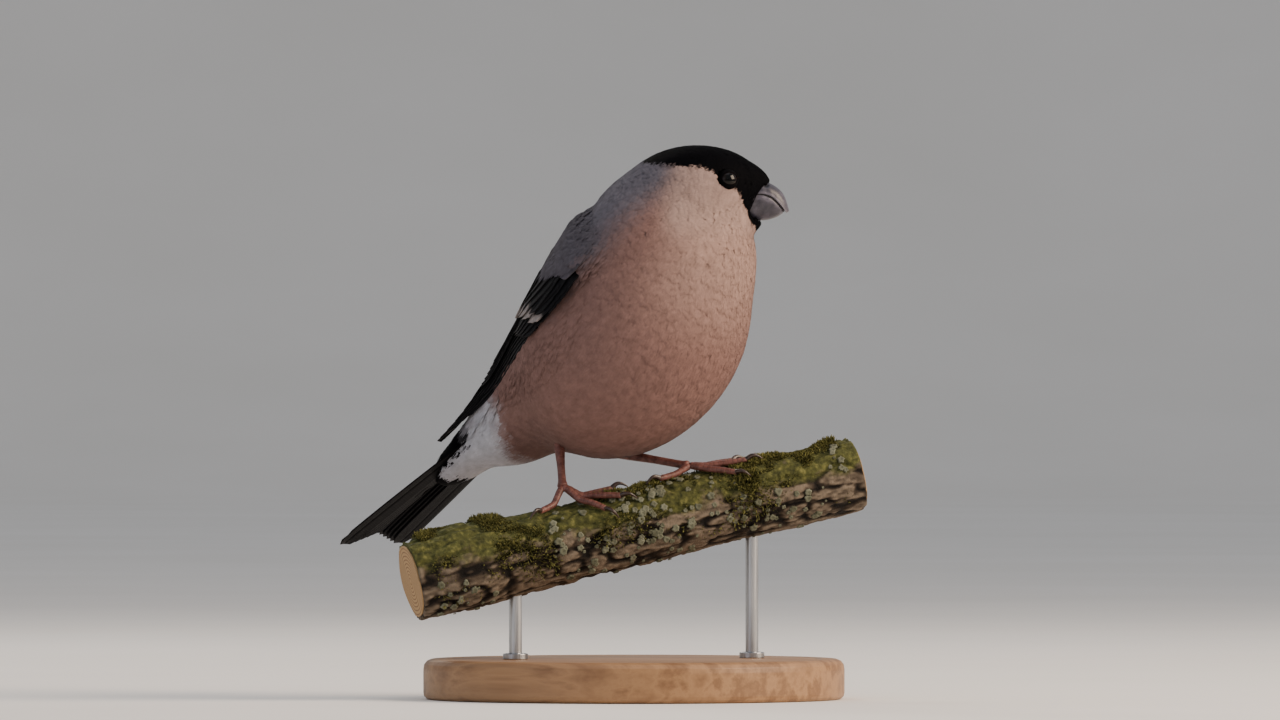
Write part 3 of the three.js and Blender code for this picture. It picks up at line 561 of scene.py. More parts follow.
class Nodes:
    """Writes one material's nodes."""

    def __init__(self, name: str, **surface: object) -> None:
        """Starts a material.

        Args:
            name: What the material is.
            surface: Values for the shader's own sockets, by name with underscores.
        """
        self.material = bpy.data.materials.new(name)
        self.material.use_nodes = True
        self.tree = self.material.node_tree
        self.shader = self.tree.nodes["Principled BSDF"]
        for key, value in surface.items():
            self.shader.inputs[key.replace("_", " ")].default_value = value

    def add(self, kind: str, links: dict | None = None, **settings: object) -> bpy.types.Node:
        """Adds a node.

        Args:
            kind: Its type, without the ShaderNode prefix.
            links: Sockets or plain values by input name or number.
            settings: Its own properties.

        Returns:
            The new node.
        """
        made = self.tree.nodes.new("ShaderNode" + kind)
        for key, setting in settings.items():
            setattr(made, key, setting)
        for key, source in (links or {}).items():
            if isinstance(source, bpy.types.NodeSocket):
                self.tree.links.new(source, made.inputs[key])
            else:
                made.inputs[key].default_value = source
        return made

    def ramp(self, factor: bpy.types.NodeSocket, stops: Sequence[tuple[float, str]]) -> bpy.types.NodeSocket:
        """Colours a factor by a ramp of places and sRGB hex colours."""
        made = self.add("ValToRGB", {"Fac": factor})
        marks = made.color_ramp.elements
        for place, hex_colour in stops[2:]:
            marks.new(place)
        for mark, (place, hex_colour) in zip(marks, stops):
            mark.position = place
            mark.color = (*linear(hex_colour), 1)
        return made.outputs["Color"]

    def noise(self, size_mm: float, detail: float = 3, stretch: Sequence[float] = (1, 1, 1),
              roughness: float = 0.55) -> bpy.types.NodeSocket:
        """A noise whose spots are about size_mm across, on the object's own coordinates."""
        place = self.add("TexCoord").outputs["Object"]
        fitted = self.add("Mapping", {"Vector": place, "Scale": stretch}).outputs["Vector"]
        links = {"Vector": fitted, "Scale": 1 / (size_mm * MM), "Detail": detail, "Roughness": roughness}
        return self.add("TexNoise", links).outputs["Fac"]

    def colour(self, source: bpy.types.NodeSocket) -> None:
        """Feeds the shader's colour."""
        self.tree.links.new(source, self.shader.inputs["Base Color"])

    def roughness(self, source: bpy.types.NodeSocket, low: float, high: float) -> None:
        """Feeds the shader's roughness from a factor."""
        made = self.add("MapRange", {"Value": source, "To Min": low, "To Max": high})
        self.tree.links.new(made.outputs["Result"], self.shader.inputs["Roughness"])

    def bump(self, height: bpy.types.NodeSocket, depth_mm: float, strength: float = 1.0) -> None:
        """Raises the surface by a height of depth_mm."""
        links = {"Height": height, "Distance": depth_mm * MM, "Strength": strength}
        self.tree.links.new(self.add("Bump", links).outputs["Normal"], self.shader.inputs["Normal"])

    def mixed(self, factor: bpy.types.NodeSocket | float, a: object, b: object,
              blend: str = "MIX") -> bpy.types.NodeSocket:
        """Blends colour a towards b; each is a socket or an sRGB hex colour."""
        colours = [(*linear(c), 1) if isinstance(c, str) else c for c in (a, b)]
        made = self.add("Mix", data_type="RGBA", blend_type=blend)
        for key, source in (("Factor", factor), ("A", colours[0]), ("B", colours[1])):
            socket = next(s for s in made.inputs if s.name == key and s.enabled)
            if isinstance(source, bpy.types.NodeSocket):
                self.tree.links.new(source, socket)
            else:
                socket.default_value = source
        return next(s for s in made.outputs if s.enabled)


@dataclass(frozen=True)
class DownyPlumage:
    """Small body feathers: separate keratin barbs, so they look dull and soft, the black ones too."""

    name: str = "plumage_small_feathers"
    roughness: float = 0.72
    sheen: float = 0.0

    def build(self) -> bpy.types.Material:
        """The finish, tinted by each feather's own colour."""
        nodes = Nodes(self.name, Roughness=self.roughness, Sheen_Weight=self.sheen, Sheen_Roughness=0.45,
                      Specular_IOR_Level=0.03)
        tint = nodes.add("Attribute", attribute_name="tint").outputs["Color"]
        mottle = nodes.ramp(nodes.noise(2.2, 4), ((0.3, "e0e0e0"), (0.7, "ffffff")))
        nodes.colour(nodes.mixed(1.0, tint, mottle, "MULTIPLY"))
        nodes.bump(nodes.noise(0.35, 2), 0.05, 0.4)
        return nodes.material


@dataclass(frozen=True)
class FlightPlumage:
    """Flight and tail feathers: barbs knit close, so each vane is smooth with a low satin shine."""

    name: str = "plumage_flight_feathers"
    shine: float = 0.1
    barb_mm: float = 0.42  # real barbs stand about 0.2 mm apart; drawn wider so that they show

    def build(self) -> bpy.types.Material:
        """The finish, with barbs slanting off each shaft."""
        nodes = Nodes(self.name, Roughness=0.5, Specular_IOR_Level=self.shine)
        tint = nodes.add("Attribute", attribute_name="tint").outputs["Color"]
        barbs = nodes.add("Attribute", attribute_name="barb").outputs["Fac"]
        turn = nodes.add("Math", {0: barbs, 1: 2 * math.pi / self.barb_mm}, operation="MULTIPLY")
        wave = nodes.add("Math", {0: turn.outputs[0]}, operation="SINE").outputs[0]
        nodes.bump(wave, 0.035, 0.6)
        shade = nodes.ramp(nodes.noise(1.5, 3), ((0.35, "cfcfd6"), (0.7, "ffffff")))
        nodes.colour(nodes.mixed(1.0, tint, shade, "MULTIPLY"))
        nodes.roughness(nodes.noise(0.8, 2), 0.44, 0.6)
        return nodes.material


@dataclass(frozen=True)
class EyeLens:
    """A live bird's eye: dark brown iris round a black pupil under a wet clear cornea."""

    name: str = "eye_wet_cornea"

    def build(self, centre: np.ndarray, axis: np.ndarray, radius: float) -> bpy.types.Material:
        """The finish, with the iris drawn round the eye's own axis."""
        nodes = Nodes(self.name, Roughness=0.05, IOR=1.38, Specular_IOR_Level=0.3, Coat_Weight=0.08,
                      Coat_Roughness=0.02)
        place = nodes.add("TexCoord").outputs["Object"]
        pupil = centre + axis * radius
        away = nodes.add("VectorMath", {0: place, 1: Vector(pupil * MM)}, operation="DISTANCE")
        reach = nodes.add("Math", {0: away.outputs["Value"], 1: radius * MM}, operation="DIVIDE").outputs[0]
        streaks = nodes.add("Math", {0: nodes.noise(0.25, 3), 1: 0.12}, operation="MULTIPLY").outputs[0]
        ringed = nodes.add("Math", {0: reach, 1: streaks}, operation="ADD").outputs[0]
        iris = ((0.5, "020202"), (0.56, "100906"), (0.84, "140b08"), (0.96, "030202"))
        nodes.colour(nodes.ramp(ringed, iris))
        return nodes.material


@dataclass(frozen=True)
class BillHorn:
    """Bill of dark horn: smooth keratin with a waxy shine, paler and worn towards its cutting edges; the
    nostril pits carry painted shade.
    """

    name: str = "bill_horn_keratin"
    dark: str = "201f29"
    middle: str = "3e3c49"
    light: str = "686573"

    def build(self) -> bpy.types.Material:
        """The finish."""
        nodes = Nodes(self.name, Roughness=0.42, IOR=1.5, Coat_Weight=0.12, Coat_Roughness=0.3)
        # The edge value is real wear towards the cutting edges and tip, and painted shade in the nostril
        # pits.
        edge = nodes.add("Attribute", attribute_name="edge").outputs["Fac"]
        cloud = nodes.noise(2.4, 4)
        blend = nodes.add("Math", {0: edge, 1: cloud}, operation="ADD").outputs[0]
        body = nodes.ramp(blend, ((0.25, self.dark), (0.6, self.middle), (0.95, self.light)))
        grain = nodes.ramp(nodes.noise(0.4, 5, (1, 1, 2.5)), ((0.35, "d0cccb"), (0.65, "ffffff")))
        nodes.colour(nodes.mixed(1.0, body, grain, "MULTIPLY"))
        nodes.roughness(nodes.noise(0.9, 3), 0.36, 0.52)
        nodes.bump(nodes.noise(0.5, 4, (1, 1, 3)), 0.05, 0.5)
        return nodes.material


@dataclass(frozen=True)
class ScaledSkin:
    """Legs and toes: thin horny scales, pinkish brown, dull with a faint waxy shine on each scute."""

    name: str = "leg_scaled_skin"
    light: str = "84574f"
    dark: str = "4c2b26"
    shine: float = 0.4

    def build(self) -> bpy.types.Material:
        """The finish."""
        nodes = Nodes(self.name, Roughness=0.45, Specular_IOR_Level=self.shine, Subsurface_Weight=0.08,
                      Subsurface_Scale=0.0008)
        seam = nodes.add("Attribute", attribute_name="seam").outputs["Fac"]
        body = nodes.ramp(nodes.noise(1.3, 4), ((0.3, self.dark), (0.7, self.light)))
        nodes.colour(nodes.mixed(seam, body, "3c1f1a"))
        nodes.roughness(nodes.noise(0.6, 3), 0.36, 0.6)
        nodes.bump(nodes.noise(0.3, 3), 0.03, 0.5)
        return nodes.material


@dataclass(frozen=True)
class ClawHorn:
    """Claws of dark brown horn, glossy and worn pale at the points."""

    name: str = "claw_horn_keratin"

    def build(self) -> bpy.types.Material:
        """The finish."""
        nodes = Nodes(self.name, Roughness=0.3, IOR=1.55)
        nodes.colour(nodes.ramp(nodes.noise(0.8, 3), ((0.3, "1c1210"), (0.75, "47332b"))))
        nodes.bump(nodes.noise(0.25, 3), 0.02, 0.4)
        return nodes.material


@dataclass(frozen=True)
class DampBark:
    """Bark of an old damp branch: cracked brown cork with an olive bloom of algae on its upper side."""

    name: str = "bark_damp_mossy"

    def build(self) -> bpy.types.Material:
        """The finish, greener on top and paler on ridges by the stored height."""
        nodes = Nodes(self.name, Roughness=0.9, Specular_IOR_Level=0.25)
        height = nodes.add("Attribute", attribute_name="ridge").outputs["Fac"]
        top = nodes.add("Attribute", attribute_name="upper").outputs["Fac"]
        brown = nodes.ramp(height, ((0.15, "120e0b"), (0.5, "3a3128"), (0.85, "75695a")))
        green = nodes.ramp(nodes.noise(1.6, 6), ((0.3, "262a12"), (0.55, "50522a"), (0.75, "7f7c46")))
        cover = nodes.add("Math", {0: nodes.noise(5.5, 5), 1: top}, operation="MULTIPLY").outputs[0]
        spread_ = nodes.ramp(cover, ((0.18, "000000"), (0.36, "ffffff")))
        nodes.colour(nodes.mixed(spread_, brown, green))
        nodes.roughness(nodes.noise(1.0, 4), 0.78, 0.98)
        nodes.bump(nodes.noise(0.7, 6), 0.35, 0.8)
        return nodes.material


@dataclass(frozen=True)
class GrowthSkin:
    """Moss or lichen: dry, matt and finely grained, each frond a little lighter at its tip."""

    name: str
    dark: str
    light: str

    def build(self) -> bpy.types.Material:
        """The finish, lighter by the stored share of the frond."""
        nodes = Nodes(self.name, Roughness=0.92, Specular_IOR_Level=0.2)
        tip = nodes.add("Attribute", attribute_name="tip").outputs["Fac"]
        shade = nodes.ramp(nodes.noise(2.4, 4), ((0.3, "a8a8a0"), (0.7, "ffffff")))
        body = nodes.ramp(tip, ((0.0, self.dark), (1.0, self.light)))
        nodes.colour(nodes.mixed(1.0, body, shade, "MULTIPLY"))
        nodes.bump(nodes.noise(0.3, 3), 0.08, 0.6)
        return nodes.material


@dataclass(frozen=True)
class SawnWood:
    """Wood of the stand and of the perch's sawn ends: long grain under thin oil, satin with dark pores."""

    name: str
    light: str = "a07a54"
    dark: str = "7d5a3a"
    grain: tuple[float, float, float] = (0.07, 2.6, 2.6)
    roughness: float = 0.42

    def build(self) -> bpy.types.Material:
        """The finish."""
        nodes = Nodes(self.name, Roughness=self.roughness, Coat_Weight=0.12, Coat_Roughness=0.3)
        rings = nodes.noise(14, 6, self.grain)
        pores = nodes.noise(1.6, 4, (self.grain[0] * 0.6, self.grain[1], self.grain[2]))
        body = nodes.ramp(rings, ((0.3, self.dark), (0.5, self.light), (0.62, self.dark), (0.8, self.light)))
        nodes.colour(nodes.mixed(nodes.ramp(pores, ((0.5, "000000"), (0.72, "484848"))), body, self.dark))
        nodes.roughness(pores, self.roughness, self.roughness + 0.2)
        nodes.bump(pores, 0.06, 0.35)
        return nodes.material


@dataclass(frozen=True)
class BrushedSteel:
    """Stand rods of drawn steel: fine lines along the rod blur its highlights."""

    name: str = "steel_drawn_rod"

    def build(self) -> bpy.types.Material:
        """The finish."""
        nodes = Nodes(self.name, Metallic=1.0, Roughness=0.3)
        lines = nodes.noise(0.5, 4, (1, 1, 0.04))
        nodes.colour(nodes.ramp(lines, ((0.3, "a3a5a8"), (0.7, "c6c8ca"))))
        nodes.roughness(lines, 0.22, 0.42)
        nodes.bump(lines, 0.01, 0.4)
        return nodes.material


@dataclass(frozen=True)
class StudioPaper:
    """Floor and backdrop of pale matt paper."""

    name: str = "studio_pale_paper"
    tone: str = "eae7e2"

    def build(self) -> bpy.types.Material:
        """The finish."""
        nodes = Nodes(self.name, Roughness=0.95)
        nodes.colour(nodes.ramp(nodes.noise(220, 3), ((0.3, self.tone), (0.7, "efece8"))))
        return nodes.material


@dataclass(frozen=True)
class EndGrain:
    """Sawn end of the branch: pale new wood in rings round a dark pith, matt and a little rough."""

    name: str = "branch_sawn_end_grain"

    def build(self) -> bpy.types.Material:
        """The finish, ringed by the stored distance from the pith."""
        nodes = Nodes(self.name, Roughness=0.8)
        ring = nodes.add("Attribute", attribute_name="ring").outputs["Fac"]
        uneven = {0: nodes.noise(5, 3), 1: 0.7, 2: ring}
        waver = nodes.add("Math", uneven, operation="MULTIPLY_ADD").outputs[0]
        turns = nodes.add("Math", {0: waver, 1: 2 * math.pi / 0.9}, operation="MULTIPLY").outputs[0]
        wave = nodes.add("Math", {0: turns}, operation="SINE").outputs[0]
        nodes.colour(nodes.ramp(wave, ((0.0, "b08f63"), (0.9, "7d5d3b"))))
        nodes.bump(nodes.noise(0.4, 4), 0.08, 0.6)
        return nodes.material


@dataclass
class Skin:
    """One seamless skin under the coat, from the face to the root of the tail. Sizes are in millimetres."""

    plumage: Plumage
    markings: Markings
    voxel: float = 1.1
    depth: float = 1.5
    # The skin is painted lighter than the plumage's own colour: painted light against the shade in the gaps
    # between feathers.
    paler: float = 1.1

    def build(self) -> bpy.types.Object:
        """Fuses soft masses, smooths them onto the outline and sinks them by the coat's depth."""
        balls = []
        for mass in self.plumage.MASSES + self.plumage.TUFTS:
            turn = (0, -math.radians(mass.pitch), math.radians(mass.yaw))
            place = [c * MM for c in mass.centre]
            bpy.ops.mesh.primitive_uv_sphere_add(segments=48, ring_count=24, location=place, rotation=turn)
            balls.append(bpy.context.object)
            balls[-1].scale = [h * MM for h in mass.half]
        Model.select_only(*balls)
        bpy.ops.object.join()
        skin = bpy.context.object
        skin.name = skin.data.name = "skin"
        bpy.ops.object.transform_apply(location=True, rotation=True, scale=True)
        Model.modifier(skin, "REMESH", mode="VOXEL", voxel_size=self.voxel * MM, use_smooth_shade=True)
        corners = self.plumage.settle(Model.corners(skin), 0, 5)
        corners = self.plumage.settle(corners, self.plumage.swell(corners) - self.depth, 4)
        Model.move(skin, corners)
        # Lightened tint: painted light in the gaps between the feathers.
        Model.colour(skin, "tint", np.clip(self.markings.tint(corners) * self.paler, 0, 1))
        self.unroll(skin, corners)
        return Model.keep(skin, DownyPlumage("skin_under_down", 0.85, 0.1).build(), "breast_plumage",
                          "head", "neck", "torso")

    def unroll(self, skin: bpy.types.Object, corners: np.ndarray) -> None:
        """Lays the skin out on the bake map, with its seam along the middle of the belly."""
        Model.bake_map(skin, self.plumage.bake_place(corners))
        layer = skin.data.uv_layers["OFBake"]
        rows = np.zeros(len(skin.data.loops) * 2, np.float32)
        layer.data.foreach_get("uv", rows)
        rows = rows.reshape(-1, 4, 2)
        wraps = np.ptp(rows[:, :, 0], axis=1) > 0.5
        rows[wraps, :, 0] += np.where(rows[wraps, :, 0] < 0.5, 0.96, 0)
        layer.data.foreach_set("uv", np.clip(rows, 0, 1).ravel())


@dataclass(frozen=True)
class Region:
    """A stretch of the coat: its name and slot, and its feathers' length, width and spacing in mm."""

    name: str
    slot: str
    length: float
    width: float
    spacing: float


@dataclass
class Coat:
    """Small feathers rooted all over the skin, each a fan of narrow barbs. Sizes are in millimetres."""

    plumage: Plumage
    markings: Markings
    bill: "Bill"
    eyes: Sequence["Eye"]
    regions: tuple[Region, ...] = (
        Region("head", "black_plumage", 3.0, 1.9, 0.78),
        Region("neck", "grey_plumage", 4.6, 3.0, 1.1),
        Region("mantle", "grey_plumage", 6.2, 4.2, 1.35),
        Region("breast", "breast_plumage", 6.6, 4.2, 1.35),
        Region("flank", "breast_plumage", 7.0, 4.4, 1.45),
        Region("vent", "breast_plumage", 7.6, 4.8, 1.5),
    )
    barbs: int = 14
    scattered: int = 320_000
    piece_limit: int = 190_000
    bill_root: tuple[float, float, float] = (14.0, 0, -1.0)
    eye_clear: float = 2.55
    lift: float = 0.12
    sunk: float = 0.8
    noise: Noise = field(default_factory=lambda: Noise(SEED + 1))
    random: np.random.Generator = field(default_factory=lambda: np.random.default_rng(SEED))

    def region_of(self, places: np.ndarray) -> np.ndarray:
        """The number of the region that each place lies in."""
        along, round_ = self.plumage.locate(places)
        ahead, _, above = self.plumage.in_head(places).T
        number = np.full(len(places), 3)
        number[(round_ > 70) & (round_ < 118)] = 4
        number[round_ < 74] = 2
        number[(along < 0.43) | ((along < 0.47) & (round_ > 140))] = 5
        number[along > 0.88] = 1
        number[(ahead > -13) & (above > -11 + 0.2 * np.abs(ahead))] = 0
        return number

    def candidates(self, skin: bpy.types.Object) -> np.ndarray:
        """Places spread evenly over the skin and raised to the level where feathers leave it."""
        skin.data.calc_loop_triangles()
        index = np.zeros(len(skin.data.loop_triangles) * 3, np.int32)
        skin.data.loop_triangles.foreach_get("vertices", index)
        a, b, c = Model.corners(skin)[index.reshape(-1, 3)].transpose(1, 0, 2)
        area = np.linalg.norm(np.cross(b - a, c - a), axis=1)
        pick = self.random.choice(len(area), self.scattered, p=area / area.sum())
        u, v = self.random.random((2, self.scattered))
        flip = u + v > 1
        u, v = np.where(flip, 1 - u, u)[:, None], np.where(flip, 1 - v, v)[:, None]
        places = a[pick] + (b - a)[pick] * u + (c - a)[pick] * v
        return self.plumage.settle(places, self.plumage.swell(places), 2)

    def roots(self, skin: bpy.types.Object) -> tuple[np.ndarray, np.ndarray]:
        """Feather roots, about one for each spacing, off the eyes, the bill and the closed wings.

        Args:
            skin: The skin they grow from.

        Returns:
            Their places, and the number of each one's region.
        """
        places = self.candidates(skin)
        along, round_ = self.plumage.locate(places)
        s, w = self.plumage.wing_place(along, round_)
        covered = (s > 0.31 * w) & (s < 0.97) & (w > -0.03) & (w < 0.95)
        bare = along < np.where(round_ < 92, 0.25, 0.2)
        spare = covered | bare | self.bill.inside(places)
        for eye in self.eyes:
            spare |= np.linalg.norm(places - eye.centre, axis=1) < eye.radius + 0.25
        places = places[~spare]
        number = self.region_of(places)
        spacing = np.array([region.spacing for region in self.regions])[number]
        spacing = spacing * (1 - 0.25 * self.near_bill(places))
        cells = np.floor(places / spacing[:, None] + 0.37 * number[:, None]).astype(np.int64)
        _, first = np.unique(np.column_stack([cells, number]), axis=0, return_index=True)
        return places[first], number[first]

    def near_bill(self, places: np.ndarray) -> np.ndarray:
        """How near places are to the bill or an eye, from 0 to 1."""
        away = np.linalg.norm(self.plumage.in_head(places) - self.bill_root, axis=1) - 4.0
        for eye in self.eyes:
            away = np.minimum(away, np.linalg.norm(places - eye.centre, axis=1) - eye.radius)
        return smooth(4 - away, 0, 4)

    def lie(self, places: np.ndarray, normals: np.ndarray) -> np.ndarray:
        """The way each feather points: away from the bill on the head, and towards the tail on the body."""
        along, _ = self.plumage.locate(places)
        in_head = self.plumage.in_head(places)
        way = -self.plumage.spine(along)[1]
        spoke = self.plumage.from_head(in_head - self.bill_root) - self.plumage.HEAD_CENTRE
        share = smooth(in_head[:, 0], -16, -3) * smooth(in_head[:, 2], -19, -9)
        way = mix(way, unit(spoke), share)
        flat = unit(way - normals * (way * normals).sum(1, keepdims=True))
        turn = (self.noise.at(places, 9) - 0.5) * 0.3 + self.random.normal(0, 0.08, len(places))
        return flat * np.cos(turn)[:, None] + np.cross(normals, flat) * np.sin(turn)[:, None]

    def sizes(self, places: np.ndarray, number: np.ndarray,
              lie: np.ndarray) -> tuple[np.ndarray, np.ndarray]:
        """Each feather's length and width, kept short beside the eyes and the bill."""
        length = np.array([region.length for region in self.regions])[number]
        width = np.array([region.width for region in self.regions])[number]
        along, _ = self.plumage.locate(places)
        length = np.where(number == 5, length * (1 + 0.25 * smooth(0.4 - along, 0, 0.15)), length)
        scale = (1 - 0.5 * self.near_bill(places)) * self.random.uniform(0.88, 1.12, len(places))
        length, width = length * scale, width * (0.35 + 0.65 * scale)
        for eye in self.eyes:
            towards = eye.centre - places
            away = np.linalg.norm(towards, axis=1)
            facing = (unit(towards) * lie).sum(1)
            room = np.maximum(away - self.eye_clear, 0.5)
            close = (away < self.eye_clear + length) & (facing > 0.3)
            length = np.where(close, np.minimum(length, room + 0.25), length)
        return length, width

    def fans(self, count: int) -> np.ndarray:
        """Barb shapes of some feathers, as shares of length and width.

        Args:
            count: How many feathers.

        Returns:
            For each feather and barb five corners: two at the root, two in the middle, one at the tip.
        """
        step = (np.arange(self.barbs) + 0.5) / self.barbs * 2 - 1
        side = step + self.random.uniform(-0.5, 0.5, (count, self.barbs)) / self.barbs
        outer = np.abs(side)
        start = 0.12 + 0.42 * (1 - outer)
        rounded = np.sqrt(np.clip(1 - 0.92 * side**2, 0, 1))
        stop = 0.68 + 0.3 * rounded + self.random.normal(0, 0.035, side.shape)
        thick = 0.74 / self.barbs * (0.8 + 0.5 * self.random.random(side.shape))
        middle = 0.45 * start + 0.55 * stop
        x = np.stack([start, start, middle, middle, stop], -1)
        y = np.stack([0.05 * side - thick, 0.05 * side + thick, 0.4 * side - thick, 0.4 * side + thick,
                      0.45 * side], -1)
        return np.stack([x, y], -1)

    def feathers(self, name: str, slot: str, places: np.ndarray, number: np.ndarray,
                 finish: bpy.types.Material) -> bpy.types.Object:
        """Grows one piece of the coat from its roots."""
        normals = self.plumage.normal(places)
        lie = self.lie(places, normals)
        length, width = self.sizes(places, number, lie)
        aside = np.cross(normals, lie)
        fans = self.fans(len(places))
        x = fans[..., 0] * length[:, None, None]
        y = fans[..., 1] * width[:, None, None]
        corners = places[:, None, None] + lie[:, None, None] * x[..., None]
        corners = corners + aside[:, None, None] * y[..., None]
        base = self.plumage.swell(places)
        lift = self.random.uniform(0.0, self.lift, len(places)) * np.minimum(length / 5, 1.2)
        depth = np.minimum(self.sunk, 0.22 * length)
        risen = smooth(fans[..., 0], 0.0, 0.62)
        height = base[:, None, None] - depth[:, None, None] * (1 - risen) + lift[:, None, None] * risen
        uneven = self.random.normal(0, 0.018, fans.shape[:2])[..., None]
        height = height + uneven * (length / 5)[:, None, None]
        corners = self.plumage.settle(corners.reshape(-1, 3), height.ravel(), 2)
        first = np.arange(len(places) * self.barbs)[:, None, None] * 5
        faces = (first + np.array([[0, 2, 3], [0, 3, 1], [2, 4, 3]])).reshape(-1, 3)
        piece = Model.mesh(name, corners, faces)
        tips = self.plumage.settle(places + lie * (0.7 * length)[:, None], 0, 2)
        shade = self.random.normal(1, 0.018, (len(places), 1, 1))
        shade = shade * self.random.normal(1, 0.025, (*fans.shape[:2], 1))
        shade = shade * np.array([0.9, 0.9, 0.97, 0.97, 1.03])
        tint = self.markings.tint(tips)[:, None, None] * shade[..., None]
        Model.colour(piece, "tint", np.clip(tint, 0, 1).reshape(-1, 3))
        patch = (fans - np.array([0.5, 0])) * 0.003
        Model.bake_map(piece, (self.plumage.bake_place(places)[:, None, None] + patch).reshape(-1, 2))
        return Model.keep(piece, finish, slot)

    def build(self, skin: bpy.types.Object) -> None:
        """Grows the whole coat, in pieces under the limit of faces."""
        places, number = self.roots(skin)
        finish = DownyPlumage().build()
        room = self.piece_limit // (3 * self.barbs)
        for index, region in enumerate(self.regions):
            rows = np.flatnonzero(number == index)
            rows = rows[np.argsort(places[rows, 1], kind="stable")]
            parts = np.array_split(rows, math.ceil(len(rows) / room))
            for part, chosen in enumerate(parts, 1):
                name = f"coat_{region.name}_{part}"
                self.feathers(name, region.slot, places[chosen], number[chosen], finish)


@dataclass(frozen=True)
class VaneRow:
    """One row of a wing's feathers, from its lowest to its highest. Lengths are in millimetres."""

    count: int
    root_along: tuple[float, float]
    root_across: tuple[float, float]
    tip_along: tuple[float, ...]
    tip_across: tuple[float, float]
    half_width: float
    lift: float
    rise: float
    tilt: float
    tint: Tint = Tint.FLIGHT
    tip_tint: Tint = Tint.FLIGHT
    tip_from: float = 0.9


class Vanes:
    """Builds flight feathers as thin closed blades with a raised shaft and slanting barbs."""

    STATIONS = 25
    COLUMNS = np.array([-1, -0.78, -0.42, -0.24, -0.2, -0.16, 0.15, 0.5, 0.82, 1])
    SHAFT = 4
    WIDTHS = staticmethod(profile([0.45, 0.7, 0.86, 0.95, 1, 1, 0.98, 0.93, 0.8, 0.12]))
    THICKNESS = 0.16
    BARB_SLANT = math.radians(34)

    def __init__(self, seed: int) -> None:
        """Starts the random notches."""
        self.random = np.random.default_rng(seed)

    def grid(self, count: int) -> tuple[np.ndarray, np.ndarray, np.ndarray]:
        """Shares of the way, and sideways shares with a few split edges, for some blades.

        Args:
            count: How many blades.

        Returns:
            Arrays over blade, station and column: way, sideways share, and the bare column values.
        """
        way = np.linspace(0, 1, self.STATIONS) ** 0.9
        way = np.broadcast_to(way[None, :, None], (count, self.STATIONS, len(self.COLUMNS)))
        column = np.broadcast_to(self.COLUMNS, way.shape)
        split = self.random.random(way.shape[:2]) < 0.07
        pull = 1 - 0.16 * split[..., None] * (np.abs(column) == 1)
        return way, column * pull * self.WIDTHS(way), column

    def blades(self, top: np.ndarray, bottom: np.ndarray, x: np.ndarray, y: np.ndarray,
               tint: np.ndarray) -> tuple[np.ndarray, ...]:
        """Closes blades between their upper and lower faces.

        Args:
            top: Upper corners over blade, station and column.
            bottom: Lower corners, in the same order.
            x: Millimetres along each blade.
            y: Millimetres from each shaft.
            tint: Colours, in the same order.

        Returns:
            Corners, faces, colours and barb measures.
        """
        count, stations, columns = top.shape[:3]
        corners = np.concatenate([top, bottom[:, :, ::-1]], 2)
        tints = np.concatenate([tint, tint[:, :, ::-1]], 2)
        barb = x * math.sin(self.BARB_SLANT) - np.abs(y) * math.cos(self.BARB_SLANT)
        barbs = np.concatenate([barb, barb[:, :, ::-1]], 2)
        around = 2 * columns
        j = np.arange(columns - 1)
        cap = np.stack([j, j + 1, around - 2 - j, around - 1 - j], 1)
        one = np.vstack([grid_faces(stations, around, True), cap[:, ::-1], cap + (stations - 1) * around])
        faces = (one[None] + np.arange(count)[:, None, None] * stations * around).reshape(-1, 4)
        return corners.reshape(-1, 3), faces, tints.reshape(-1, 3), barbs.ravel()

    def tinted(self, way: np.ndarray, column: np.ndarray, base: Tint, tip: Tint,
               tip_from: float) -> np.ndarray:
        """Colours over some blades: the tip's colour past tip_from, browner edges, and a paler shaft."""
        rows = np.broadcast_to(base.rgb, (*way.shape, 3))
        worn = 0.015 * np.abs(column) + 0.01 * self.random.random(way.shape)
        rows = mix(rows, Tint.MANTLE.rgb, worn)
        edge = tip_from + 0.05 * np.abs(column) + self.random.uniform(-0.02, 0.02, (len(way), 1, 1))
        rows = mix(rows, tip.rgb, smooth(way - edge, 0, 0.07))
        shaft = np.zeros(way.shape)
        shaft[..., self.SHAFT] = 0.04
        return mix(rows, Tint.MANTLE.rgb, shaft)

    @staticmethod
    def join(name: str, parts: Sequence[tuple[np.ndarray, ...]]) -> bpy.types.Object:
        """One mesh of several sets of blades."""
        starts = np.cumsum([0] + [len(part[0]) for part in parts])
        corners, tints, barbs = (np.concatenate([part[k] for part in parts]) for k in (0, 2, 3))
        faces = np.concatenate([part[1] + start for part, start in zip(parts, starts)])
        piece = Model.mesh(name, corners, faces)
        Model.colour(piece, "tint", tints)
        Model.value(piece, "barb", barbs)
        Model.face_out(piece)
        return piece


